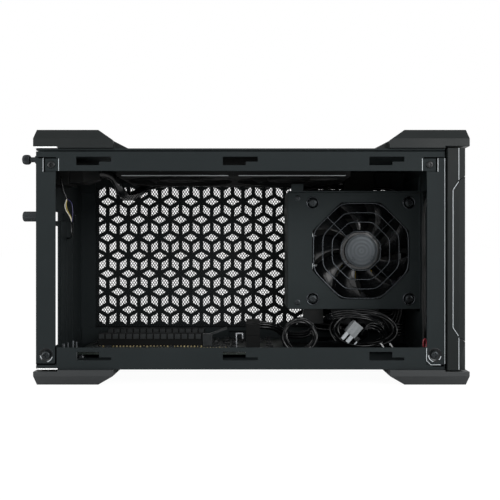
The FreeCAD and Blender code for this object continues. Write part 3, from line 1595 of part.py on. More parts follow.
make_bottom_tray()
make_top_tray()
make_rear_wall()
make_front_wall()
make_covers()
make_bars()
make_bezel()
make_insert()
make_front_ports()
make_slot_hardware()
make_side_panel()
make_side_filter()
make_fans()
make_psu_shell()
make_psu_cover()
make_grille()
make_psu_top()
make_psu_core()
make_psu_sockets()
make_psu_bracket()
make_baseboard()
make_mains()
make_inner_leads()
export_all()
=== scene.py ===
"""Mini PC case with its near side panel off: finishes, fine pieces, lights and camera."""

import logging
import math
from dataclasses import dataclass, field
from enum import Enum
from typing import Callable, Sequence

import bpy
import numpy as np
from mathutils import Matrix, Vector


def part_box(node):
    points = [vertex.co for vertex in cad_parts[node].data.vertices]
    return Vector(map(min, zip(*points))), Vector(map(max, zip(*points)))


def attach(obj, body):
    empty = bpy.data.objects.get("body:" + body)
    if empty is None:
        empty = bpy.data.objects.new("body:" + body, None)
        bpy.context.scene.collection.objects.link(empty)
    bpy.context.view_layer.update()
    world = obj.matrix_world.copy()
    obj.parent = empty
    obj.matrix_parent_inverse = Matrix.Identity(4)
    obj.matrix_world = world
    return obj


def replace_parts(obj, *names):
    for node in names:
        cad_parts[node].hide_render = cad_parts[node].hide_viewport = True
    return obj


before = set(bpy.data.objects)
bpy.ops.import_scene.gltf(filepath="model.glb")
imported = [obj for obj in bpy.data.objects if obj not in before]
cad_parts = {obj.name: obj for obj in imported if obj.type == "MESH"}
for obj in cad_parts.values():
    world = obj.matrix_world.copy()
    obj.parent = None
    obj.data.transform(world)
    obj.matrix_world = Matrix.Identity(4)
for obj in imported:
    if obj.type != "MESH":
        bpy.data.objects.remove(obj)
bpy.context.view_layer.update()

LOG = logging.getLogger("mini_pc_case")
MM = 0.001
Array = np.ndarray
Vector3 = tuple[float, float, float]
Segment = tuple[float, float, float, float]
Profile = tuple[tuple[float, float], ...]

# places that several classes share, in millimetres: the screw dishes in the near rails, the middle of the fan
# guard in X and in Z, how far its screws stand from that, and the near faces of rails and posts
DISH_X, DISH_Z = (-147.1, 144.8), 22.8
GUARD_MIDDLE, GUARD_EYE = 101.0, 41.25
NEAR_SHEET = -72.0
CARD_SLOTS = ("near_card_slot", "far_card_slot")


# ---------------------------------------------------------------- colours and shader nodes

def linear(hex_colour: str) -> tuple[float, float, float, float]:
    """Turn a hex sRGB colour into linear RGBA.

    Args:
        hex_colour: six hex digits with a leading number sign.

    Returns:
        Linear red, green, blue and an alpha of one.
    """
    srgb = np.array([int(hex_colour[i:i + 2], 16) for i in (1, 3, 5)]) / 255.0
    low, high = srgb / 12.92, ((srgb + 0.055) / 1.055) ** 2.4
    red, green, blue = np.where(srgb <= 0.04045, low, high)
    return float(red), float(green), float(blue), 1.0


def add_node(tree: bpy.types.NodeTree, kind: str, inputs: dict | None = None,
             **settings: object) -> bpy.types.Node:
    """Add one shader node, set its properties and fill or link its sockets.

    Args:
        tree: node tree that gets the node.
        kind: node class without its ShaderNode prefix.
        inputs: socket name or index to a value or to another node's output.
        settings: node properties.

    Returns:
        The new node.
    """
    made = tree.nodes.new("ShaderNode" + kind)
    for key, value in settings.items():
        setattr(made, key, value)
    for key, value in (inputs or {}).items():
        if isinstance(value, bpy.types.NodeSocket):
            tree.links.new(value, made.inputs[key])
        else:
            made.inputs[key].default_value = value
    return made


def fresh_tree(owner: bpy.types.ID) -> bpy.types.NodeTree:
    """Switch on the nodes of a material or a world and empty its tree.

    Args:
        owner: the material or the world.

    Returns:
        Its node tree with no node in it.
    """
    owner.use_nodes = True
    owner.node_tree.nodes.clear()
    return owner.node_tree


class Pattern(Enum):
    """What carries the fine relief of a finish."""

    GRAIN = "grain"
    CELLS = "cells"
    BRUSHED = "brushed"
    SPUN = "spun"
    TRACES = "traces"


@dataclass(frozen=True)
class Finish:
    """One procedural finish, its pattern sized in real millimetres.

    Attributes:
        name: material name, the name of the real material.
        colour: hex sRGB colour of the surface.
        worn: hex sRGB colour the mottling drifts to.
        roughness: mean roughness.
        spread: how far roughness drifts either way.
        grain: size of the fine relief in millimetres.
        relief: depth of the fine relief in millimetres.
        cloud: size of the colour drift in millimetres.
        metallic: one for bare metal.
        specular: specular level of the coating.
        pattern: kind of fine relief.
    """

    name: str
    colour: str
    worn: str
    roughness: float
    spread: float = 0.06
    grain: float = 0.5
    relief: float = 0.02
    cloud: float = 25.0
    metallic: float = 0.0
    specular: float = 0.35
    pattern: Pattern = Pattern.GRAIN

    def height(self, tree: bpy.types.NodeTree, place: bpy.types.NodeSocket) -> bpy.types.NodeSocket:
        """Make the height pattern of the finish.

        Args:
            tree: node tree of the material.
            place: output that gives Object coordinates.

        Returns:
            The output that carries the height.
        """
        scale = 1.0 / (self.grain * MM)
        if self.pattern is Pattern.CELLS:
            cells = add_node(tree, "TexVoronoi", {"Vector": place, "Scale": scale}, feature="SMOOTH_F1")
            return cells.outputs["Distance"]
        if self.pattern is Pattern.SPUN:
            # rings about the guard's middle; the node counts 20 radians to its unit, so a ring is about six
            # grains wide, coarser than real tool marks, which would not show
            middle = -GUARD_MIDDLE * MM
            centred = add_node(tree, "Mapping", {"Vector": place, "Location": (middle, 0.0, middle)})
            rings = add_node(tree, "TexWave", {"Vector": centred.outputs["Vector"], "Scale": scale / 20.0,
                                               "Distortion": 0.4}, wave_type="RINGS", rings_direction="Y")
            return rings.outputs["Fac"]
        if self.pattern is Pattern.TRACES:
            traces = add_node(tree, "TexBrick", {"Vector": place, "Scale": scale / 4.0, "Mortar Size": 0.06,
                                                 "Brick Width": 2.4, "Row Height": 0.3})
            return traces.outputs["Fac"]
        if self.pattern is Pattern.BRUSHED:
            # brush marks run along X, 25 times as long as they are wide
            place = add_node(tree, "Mapping", {"Vector": place, "Scale": (0.04, 1.0, 1.0)}).outputs["Vector"]
        noise = add_node(tree, "TexNoise", {"Vector": place, "Scale": scale, "Detail": 3.0,
                                            "Roughness": 0.55})
        return noise.outputs["Fac"]

    def build(self) -> bpy.types.Material:
        """Make the Blender material of this finish.

        Two drifts mix the colours, the slow one also moves the roughness, and the fine relief goes
        into the bump.

        Returns:
            The material, its patterns on Object coordinates.
        """
        material = bpy.data.materials.new(self.name)
        tree = fresh_tree(material)
        place = add_node(tree, "TexCoord").outputs["Object"]
        height = self.height(tree, place)
        cloud = add_node(tree, "TexNoise", {"Vector": place, "Scale": 1.0 / (self.cloud * MM), "Detail": 4.0})
        drifting = {"Value": cloud.outputs["Fac"], 1: 0.3, 2: 0.7}
        drift = add_node(tree, "MapRange", {**drifting, 3: 0.0, 4: 1.0})
        speck = add_node(tree, "MapRange", {"Value": height, 1: 0.25, 2: 0.8, 3: 0.0, 4: 0.55})
        blend = add_node(tree, "Math", {0: drift.outputs[0], 1: speck.outputs[0]}, operation="MULTIPLY")
        shade = add_node(tree, "Mix", {0: blend.outputs[0], 6: linear(self.colour), 7: linear(self.worn)},
                         data_type="RGBA")
        rough = add_node(tree, "MapRange", {**drifting, 3: self.roughness - self.spread,
                                            4: self.roughness + self.spread})
        bump = add_node(tree, "Bump", {"Height": height, "Strength": 0.6, "Distance": self.relief * MM})
        surface = add_node(tree, "BsdfPrincipled", {
            "Base Color": shade.outputs[2], "Roughness": rough.outputs[0], "Metallic": self.metallic,
            "Specular IOR Level": self.specular, "Normal": bump.outputs["Normal"]})
        add_node(tree, "OutputMaterial", {"Surface": surface.outputs[0]})
        return material


def wire_vinyl(hue: str, colour: str, worn: str) -> Finish:
    """The soft vinyl of a thin wire, which differs from its neighbours only in its dye."""
    return Finish(hue + "_wire_vinyl", colour, worn, 0.38, 0.06, 0.5, 0.01, 4.0, specular=0.45)


class Finishes:
    """All the finishes of the case, each built once on first use."""

    # fine powder coat: a dry, faintly pebbled black that greys towards the light
    POWDER = Finish("powder_coated_steel", "#1e2223", "#262a2b", 0.5, 0.05, 0.45, 0.03, 40.0, specular=0.03)
    # moulded trim: smoother and a little glossier than the sheet, soft spark texture
    MOULDED = Finish("moulded_abs", "#161919", "#1d2021", 0.42, 0.06, 0.7, 0.015, 30.0, specular=0.12)
    # front trim: the same plastic in a deeper black
    TRIM = Finish("black_abs_trim", "#131616", "#1b1e1e", 0.46, 0.06, 0.7, 0.015, 30.0, specular=0.08)
    # feet: greyer, drier plastic that lifts off the floor's white
    FOOT = Finish("grey_black_abs", "#292b2c", "#323435", 0.5, 0.06, 0.8, 0.02, 25.0, specular=0.2)
    # polished blades behind the guard: a black mirror with long soft glints
    GLOSSY = Finish("polished_nylon", "#0b0c0d", "#121415", 0.2, 0.06, 2.4, 0.01, 9.0, specular=0.45)
    # soft black of plugs, slots and the top fans: a dead black that takes hardly any light
    VINYL = Finish("soft_black_vinyl", "#0a0b0b", "#101111", 0.6, 0.08, 0.8, 0.02, 10.0, specular=0.08)
    # painted seam shade: a near-black strip laid in the seams round the corner plates, so a seam reads as a
    # shaded gap
    SEAM_SHADE = Finish("painted_seam_shade", "#030303", "#060606", 0.9, 0.05, 0.6, 0.02, 8.0, specular=0.0)
    # supply case: a shade greyer than the frame, finer grain
    SUPPLY = Finish("supply_case_coat", "#212627", "#2a2f30", 0.5, 0.05, 0.35, 0.02, 30.0, specular=0.06)
    # inside of the cut panel: a shade deeper and duller than the frame, so the cut shapes read crisply
    INNER = Finish("black_coated_sheet", "#1c2021", "#23272a", 0.55, 0.05, 0.45, 0.02, 30.0, specular=0.05)
    # connector plastic: even black with a soft sheen
    CONNECTOR = Finish("connector_nylon", "#141617", "#1e2122", 0.36, 0.08, 0.6, 0.012, 6.0, specular=0.25)
    # housing among the leads, and the painted highlights on the fan frames' lower rims: a pale, even grey
    # with a soft sheen
    GREY_HOUSING_AND_RIM_HIGHLIGHT = Finish("grey_nylon_and_painted_rim_highlight", "#75797b", "#888c8e", 0.4, 0.08, 0.6, 0.015, 5.0, specular=0.4)
    # lead jacket: soft vinyl with drawn, slightly uneven gloss
    JACKET = Finish("vinyl_jacket", "#0b0c0d", "#131415", 0.22, 0.06, 0.9, 0.02, 7.0, specular=0.3)
    # black zinc on the screws: dark metal with a paler worn edge
    ZINC = Finish("black_zinc_steel", "#212426", "#313537", 0.3, 0.1, 0.35, 0.012, 2.5, metallic=0.7)
    # black oxide on the case screws: nearly black, with a soft gloss on the crown
    OXIDE = Finish("black_oxide_steel", "#121415", "#1b1e1f", 0.24, 0.06, 0.3, 0.008, 2.0, metallic=0.5)
    # black nickel on the guard and the screw cups: a dark mirror that draws thin light lines
    NICKEL = Finish("black_nickel_wire", "#3d4043", "#2f3234", 0.24, 0.06, 0.4, 0.006, 3.0, metallic=1.0)
    # painted highlights along the near edges and screw dish rims, and the loose plug's terminals: a narrow
    # dull grey gleam
    HIGHLIGHT_AND_TERMINAL_GREY = Finish("painted_highlight_and_terminal_grey", "#a3a8ab", "#8b9093", 0.4, 0.08, 0.5, 0.01, 6.0, specular=0.4)
    # ribs of the card slots: charcoal plastic that stands off the black body
    CHARCOAL = Finish("charcoal_nylon", "#181b1c", "#232627", 0.42, 0.08, 0.6, 0.012, 4.0, specular=0.3)
    # painted highlights under the rear handle's and foot's lips, and the natural nylon of the tie ends: milky
    # white
    WHITE_NYLON_AND_HIGHLIGHT = Finish("white_nylon_and_painted_highlight", "#f1f2f2", "#e2e4e4", 0.4, 0.06, 0.8, 0.01, 8.0, specular=0.4)
    # bright zinc of the standoffs and the slot's end clip: a pale mirror with brush marks
    PLATED = Finish("zinc_plated_steel", "#b9bcc0", "#8f9398", 0.28, 0.08, 0.5, 0.01, 4.0, metallic=1.0,
                    pattern=Pattern.BRUSHED)
    # gold plating of the card slots' and headers' contacts: a pale, slightly dull yellow
    GOLD = Finish("gold_plated_contacts", "#c9b98c", "#a39468", 0.34, 0.08, 0.3, 0.008, 3.0, metallic=0.8)
    # spun cap in the middle of the fan guard: fine turning rings on dark lacquered metal
    SPUN = Finish("spun_dark_steel", "#33373a", "#4b4f52", 0.34, 0.08, 0.5, 0.02, 8.0, metallic=0.6,
                  pattern=Pattern.SPUN)
    # soft pads under the feet and the front panel's lead: matt black with open cells
    RUBBER = Finish("foamed_rubber", "#131414", "#1e1f1f", 0.78, 0.08, 0.8, 0.07, 12.0, specular=0.25,
                    pattern=Pattern.CELLS)
    # filter strands and the floor's liner: drawn black nylon without gloss
    STRAND = Finish("nylon_strand", "#0e1011", "#161819", 0.5, 0.06, 0.3, 0.008, 15.0, specular=0.06)
    # black laminate board with its copper runs showing faintly under the mask
    LAMINATE = Finish("masked_laminate", "#101613", "#27332b", 0.4, 0.05, 1.2, 0.02, 2.5, specular=0.45,
                      pattern=Pattern.TRACES)
    # extruded heat sinks: drawn bright metal
    ALUMINIUM = Finish("extruded_aluminium", "#aeb2b4", "#868a8d", 0.36, 0.08, 0.4, 0.012, 5.0, metallic=1.0,
                       pattern=Pattern.BRUSHED)
    # yellow film round the transformer: thin and glossy
    FILM = Finish("polyester_film", "#c9a83a", "#b08f2a", 0.32, 0.06, 1.5, 0.03, 4.0, specular=0.5)
    # capacitor sleeves: shrunk film with a soft gloss
    SLEEVE = Finish("printed_pet_sleeve", "#20242c", "#2d323c", 0.3, 0.06, 0.8, 0.01, 6.0, specular=0.5)
    # port shells and the board's edge clips: dull plated metal that greys instead of mirroring
    PORT = Finish("nickel_plated_shell", "#5e6164", "#4a4d50", 0.58, 0.05, 0.4, 0.006, 3.0, metallic=1.0)
    # small coloured wires: four dyes in one soft vinyl
    WHITE_WIRE = wire_vinyl("white", "#b9b6ab", "#a3a096")
    YELLOW_WIRE = wire_vinyl("yellow", "#9c8a3c", "#857530")
    PURPLE_WIRE = wire_vinyl("purple", "#221e46", "#1b1838")
    RED_WIRE = wire_vinyl("red", "#7d1f2a", "#641820")

    _made: dict[str, bpy.types.Material] = {}

    @classmethod
    def material(cls, finish: Finish) -> bpy.types.Material:
        """The material of a finish, made on first use.

        Args:
            finish: one of the finishes.

        Returns:
            Its material.
        """
        if finish.name not in cls._made:
            cls._made[finish.name] = finish.build()
        return cls._made[finish.name]


# ---------------------------------------------------------------- computed meshes

BOX_SIDES = np.array([[0, 1, 3, 2], [4, 6, 7, 5], [0, 4, 5, 1], [2, 3, 7, 6], [0, 2, 6, 4], [1, 5, 7, 3]])


def around(steps: int) -> Array:
    """Even angles round a full turn, the last one step short of the first."""
    return np.linspace(0.0, 2.0 * np.pi, steps, endpoint=False)


@dataclass
class Surface:
    """Vertices in millimetres and their quads, kept as arrays until a mesh is made."""

    points: Array
    quads: Array

    @staticmethod
    def grid(points: Array, wrap_u: bool = False, wrap_v: bool = False) -> "Surface":
        """Quads over a grid of points, each joined to the next along both directions.

        Args:
            points: array of shape (u, v, 3).
            wrap_u: join the last row to the first.
            wrap_v: join the last column to the first.

        Returns:
            The surface over the grid.
        """
        rows, columns = points.shape[:2]
        index = np.arange(rows * columns).reshape(rows, columns)
        index = np.concatenate([index, index[:1]], 0) if wrap_u else index
        index = np.concatenate([index, index[:, :1]], 1) if wrap_v else index
        quads = np.stack([index[:-1, :-1], index[1:, :-1], index[1:, 1:], index[:-1, 1:]], -1)
        return Surface(points.reshape(-1, 3), quads.reshape(-1, 4))

    @staticmethod
    def boxed(corners: Array) -> "Surface":
        """Closed boxes from eight corners each.

        Args:
            corners: array that reshapes to (boxes, 8, 3), its corners in the order of BOX_SIDES.

        Returns:
            The boxes as one surface.
        """
        points = corners.reshape(-1, 3)
        quads = BOX_SIDES[None] + 8 * np.arange(len(points) // 8)[:, None, None]
        return Surface(points, quads.reshape(-1, 4))

    @staticmethod
    def boxes(low: Array, high: Array) -> "Surface":
        """Closed boxes between pairs of corners.

        Args:
            low: lowest corner of each box, one to a row.
            high: highest corner of each box, one to a row.

        Returns:
            The boxes as one surface.
        """
        low, high = np.atleast_2d(np.asarray(low, float)), np.atleast_2d(np.asarray(high, float))
        unit = np.array([[x, y, z] for x in (0, 1) for y in (0, 1) for z in (0, 1)], float)
        return Surface.boxed(low[:, None] + unit[None] * (high - low)[:, None])

    @staticmethod
    def row(first: Array, last: Array, depth: tuple[float, float], rise: tuple[float, float]) -> "Surface":
        """Boxes side by side along X that share their spans in Y and Z.

        Args:
            first: X at which each box starts.
            last: X at which each box ends.
            depth: lowest and highest Y of all the boxes.
            rise: lowest and highest Z of all the boxes.

        Returns:
            All the boxes as one surface.
        """
        return Surface.boxes(*(np.column_stack([x, np.full_like(x, y), np.full_like(x, z)])
                               for x, y, z in zip((first, last), depth, rise)))

    @staticmethod
    def bars(ends: Array, width: float, near: float, far: float) -> "Surface":
        """Straight flat bars between pairs of points in X and Z, from one Y plane to another.

        Along, across and Y make a right-handed frame at each bar, so the faces point outwards.

        Args:
            ends: array of shape (bars, 2, 2), the X and Z of both ends of each bar.
            width: width of a bar in millimetres.
            near: Y of the near faces.
            far: Y of the far faces.

        Returns:
            All the bars as closed boxes.
        """
        along = ends[:, 1] - ends[:, 0]
        along = along / np.linalg.norm(along, axis=1, keepdims=True)
        normal = np.stack([along[:, 1], -along[:, 0]], -1)
        half = width * np.array([-0.5, 0.5])[None, None, :, None]
        sides = ends[:, :, None] + half * normal[:, None, None]
        points = np.stack([np.stack([sides[..., 0], np.full(sides.shape[:3], y), sides[..., 1]], -1)
                           for y in (near, far)], 3)
        return Surface.boxed(points)

    @staticmethod
    def turned(profile: Sequence[tuple[float, float]], steps: int = 48,
               ripple: Callable[[Array, Array], Array] | None = None) -> "Surface":
        """A turned solid about Z: the profile's radius and height carried round the axis.

        Args:
            profile: pairs of radius and height from the top or the inner edge on, so that faces point out.
            steps: facets round the axis.
            ripple: radius factor from the angle and the height, for knurls.

        Returns:
            The turned surface, closed where the radius is nought.
        """
        radius, height = np.array(profile, float).T
        angle = around(steps)
        factor = np.ones((len(radius), steps)) if ripple is None else ripple(angle[None], height[:, None])
        reach = radius[:, None] * factor
        points = np.stack([reach * np.cos(angle), reach * np.sin(angle),
                           np.broadcast_to(height[:, None], reach.shape)], -1)
        return Surface.grid(points, wrap_v=True)

    @staticmethod
    def ring_tube(path: Array, across: Array, up: Array, radius: float, sides: int = 10,
                  closed: bool = True) -> "Surface":
        """A round wire along a path, its section a circle spanned by two directions at each point.

        Args:
            path: points along the middle of the wire.
            across: one direction of the section at each point.
            up: the other direction of the section at each point.
            radius: radius of the wire in millimetres.
            sides: facets round the wire.
            closed: join the end of the path to its start.

        Returns:
            The wire's skin.
        """
        turn = around(sides)[None, :, None]
        section = radius * (np.cos(turn) * across[:, None] + np.sin(turn) * up[:, None])
        return Surface.grid(path[:, None] + section, wrap_u=closed, wrap_v=True)

    @staticmethod
    def joined(parts: Sequence["Surface"]) -> "Surface":
        """Several surfaces put together as one.

        Args:
            parts: the surfaces.

        Returns:
            One surface with all their points and quads.
        """
        starts = np.cumsum([0] + [len(part.points) for part in parts[:-1]])
        return Surface(np.concatenate([part.points for part in parts]),
                       np.concatenate([part.quads + start for part, start in zip(parts, starts)]))

    def moved(self, matrix: Array, shift: Sequence[float]) -> "Surface":
        """The surface turned by a matrix and then shifted."""
        return Surface(self.points @ np.asarray(matrix, float).T + np.asarray(shift, float), self.quads)

    def copies(self, shifts: Array) -> "Surface":
        """The surface repeated at every shift.

        Args:
            shifts: one shift to a row in millimetres.

        Returns:
            All the copies as one surface.
        """
        shifts = np.atleast_2d(np.asarray(shifts, float))
        points = self.points[None] + shifts[:, None]
        quads = self.quads[None] + len(self.points) * np.arange(len(shifts))[:, None, None]
        return Surface(points.reshape(-1, 3), quads.reshape(-1, 4))


# matrices that turn a shape made along Z to point down, near, far or to the rear
AXIS_DOWN = np.diag([1.0, -1.0, -1.0])
AXIS_NEAR = np.array([[1.0, 0.0, 0.0], [0.0, 0.0, -1.0], [0.0, 1.0, 0.0]])
AXIS_FAR = np.array([[-1.0, 0.0, 0.0], [0.0, 0.0, 1.0], [0.0, 1.0, 0.0]])
AXIS_REAR = np.array([[0.0, 0.0, -1.0], [0.0, 1.0, 0.0], [1.0, 0.0, 0.0]])


def link_object(name: str, data: bpy.types.ID) -> bpy.types.Object:
    """Make an object of some data and link it to the scene.

    Args:
        name: name of the object.
        data: its mesh, curve, light or camera.

    Returns:
        The new object.
    """
    made = bpy.data.objects.new(name, data)
    bpy.context.scene.collection.objects.link(made)
    return made


def round_edges(piece: bpy.types.Object, width: float, angle: float = 30.0) -> None:
    """Round the sharp edges of a piece with a live modifier.

    Args:
        piece: the piece.
        width: width of a rounded edge in millimetres.
        angle: edges sharper than this angle in degrees are rounded.
    """
    rounded = piece.modifiers.new("rounded_edges", "BEVEL")
    rounded.width, rounded.segments = width * MM, 2
    rounded.limit_method, rounded.angle_limit = "ANGLE", math.radians(angle)


def make_rider(name: str, data: bpy.types.ID, finish: Finish, body: str) -> bpy.types.Object:
    """Make a piece of a mesh or a curve with its finish, let it ride a body and report it.

    Args:
        name: piece name.
        data: its mesh or curve.
        finish: its finish.
        body: body it rides.

    Returns:
        The new object.
    """
    data.materials.append(Finishes.material(finish))
    piece = link_object(name, data)
    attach(piece, body)
    LOG.info("%s of %s rides %s", name, finish.name, body)
    return piece


def make_piece(name: str, surface: Surface, finish: Finish, body: str, smooth: float = 40.0,
               bevel: float = 0.0) -> bpy.types.Object:
    """Make one mesh piece from a surface and let it ride a body.

    Args:
        name: piece name.
        surface: computed surface in millimetres.
        finish: finish of the piece.
        body: body the piece rides.
        smooth: edges sharper than this angle in degrees stay sharp.
        bevel: width of a rounded edge in millimetres, nought for none.

    Returns:
        The new object.
    """
    mesh = bpy.data.meshes.new(name)
    points, quads = surface.points * MM, surface.quads
    mesh.vertices.add(len(points))
    mesh.vertices.foreach_set("co", points.ravel())
    mesh.loops.add(quads.size)
    mesh.loops.foreach_set("vertex_index", quads.ravel().astype(np.int32))
    mesh.polygons.add(len(quads))
    mesh.polygons.foreach_set("loop_start", np.arange(0, quads.size, 4, dtype=np.int32))
    mesh.update(calc_edges=True)
    mesh.validate()
    mesh.shade_smooth()
    mesh.set_sharp_from_angle(angle=math.radians(smooth))
    piece = make_rider(name, mesh, finish, body)
    if bevel:
        round_edges(piece, bevel)
    return piece


def make_wire(name: str, routes: Sequence[Sequence[Vector3]], radius: float, finish: Finish,
              body: str = "case") -> bpy.types.Object:
    """Make one curve piece of round wires, each an open spline through its own points.

    Args:
        name: piece name.
        routes: control points of each wire in millimetres.
        radius: wire radius in millimetres.
        finish: finish of the wires.
        body: body the piece rides.

    Returns:
        The new object.
    """
    curve = bpy.data.curves.new(name, "CURVE")
    curve.dimensions, curve.bevel_depth, curve.bevel_resolution = "3D", radius * MM, 4
    curve.resolution_u, curve.use_fill_caps = 10, True
    for route in routes:
        points = np.ones((len(route), 4))
        points[:, :3] = np.asarray(route, float) * MM
        spline = curve.splines.new("NURBS")
        spline.points.add(len(route) - 1)
        spline.points.foreach_set("co", points.ravel())
        spline.order_u, spline.use_endpoint_u = 3, True
    return make_rider(name, curve, finish, body)


def bounds_mm(node: str) -> tuple[Array, Array]:
    """Lowest and highest corner of a CAD node in millimetres."""
    low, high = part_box(node)
    return np.array(low) / MM, np.array(high) / MM


# ---------------------------------------------------------------- CAD nodes and their finishes

@dataclass
class Shell:
    """The CAD nodes that stay as they are, each given a finish and rounded edges.

    Attributes:
        edge: width of the rounded edges of sheet, plugs and frames in millimetres.
        soft_edge: width of the rounded edges of mouldings in millimetres.
        fine_edge: width of the rounded edges of small parts in millimetres.
        sharp: edges sharper than this angle in degrees are rounded.
        joint: distance in metres within which a node's loose triangles are joined.
        sheet, supply, plain_sheet, moulded, feet, trim, vinyl, connectors: nodes that share a finish.
        others: finish of each remaining node.
    """

    edge: float = 0.3
    soft_edge: float = 0.35
    fine_edge: float = 0.25
    sharp: float = 35.0
    joint: float = 0.00001
    sheet: tuple[str, ...] = ("bottom_tray", "top_tray", "rear_wall", "front_wall", "bottom_cover",
                              "top_cover", "slot_covers", "slot_retainer")
    supply: tuple[str, ...] = ("psu_bracket", "psu_shell", "psu_cover")
    plain_sheet: tuple[str, ...] = ("side_panel",)
    moulded: tuple[str, ...] = ("front_handle", "rear_handle")
    feet: tuple[str, ...] = ("front_foot", "rear_foot")
    trim: tuple[str, ...] = ("front_bezel", "front_insert", "power_button")
    vinyl: tuple[str, ...] = ("mains_inlet", "mains_boot", "mains_plug", "board_power_socket",
                              "board_power_plug", *CARD_SLOTS, "rear_fan_frame", "front_fan_frame",
                              "psu_fan_frame")
    connectors: tuple[str, ...] = ("psu_inlet", "psu_rocker", "rocker_frame", "psu_sockets",
                                   "psu_lead_plugs", "audio_jack")
    others: dict[str, Finish] = field(default_factory=lambda: {
        "foot_pads": Finishes.RUBBER, "baseboard": Finishes.LAMINATE, "psu_board": Finishes.LAMINATE,
        "io_board": Finishes.LAMINATE, "usb_ports": Finishes.PORT, "board_standoffs": Finishes.PLATED,
        "psu_heatsinks": Finishes.ALUMINIUM, "psu_transformer": Finishes.FILM,
        "psu_capacitors": Finishes.SLEEVE})

    def dress(self, node: str, finish: Finish, edge: float) -> None:
        """Give one CAD node its finish and rounded edges.

        Args:
            node: name of the node.
            finish: finish of the node.
            edge: width of its rounded edges in millimetres, nought for none.
        """
        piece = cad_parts[node]
        piece.data.materials.clear()
        piece.data.materials.append(Finishes.material(finish))
        LOG.info("%s of %s is a CAD node", node, finish.name)
        if edge:
            piece.modifiers.new("weld", "WELD").merge_threshold = self.joint
            round_edges(piece, edge, self.sharp)

    def build(self) -> None:
        """Dress every CAD node that is kept."""
        for nodes, finish, edge in ((self.sheet, Finishes.POWDER, self.edge),
                                    (self.supply, Finishes.SUPPLY, self.edge),
                                    (self.vinyl, Finishes.VINYL, self.edge),
                                    (self.plain_sheet, Finishes.INNER, 0.0),
                                    (self.moulded, Finishes.MOULDED, self.soft_edge),
                                    (self.feet, Finishes.FOOT, self.soft_edge),
                                    (self.trim, Finishes.TRIM, self.soft_edge),
                                    (self.connectors, Finishes.CONNECTOR, self.edge)):
            for node in nodes:
                self.dress(node, finish, edge)
        for node, finish in self.others.items():
            self.dress(node, finish, self.fine_edge)


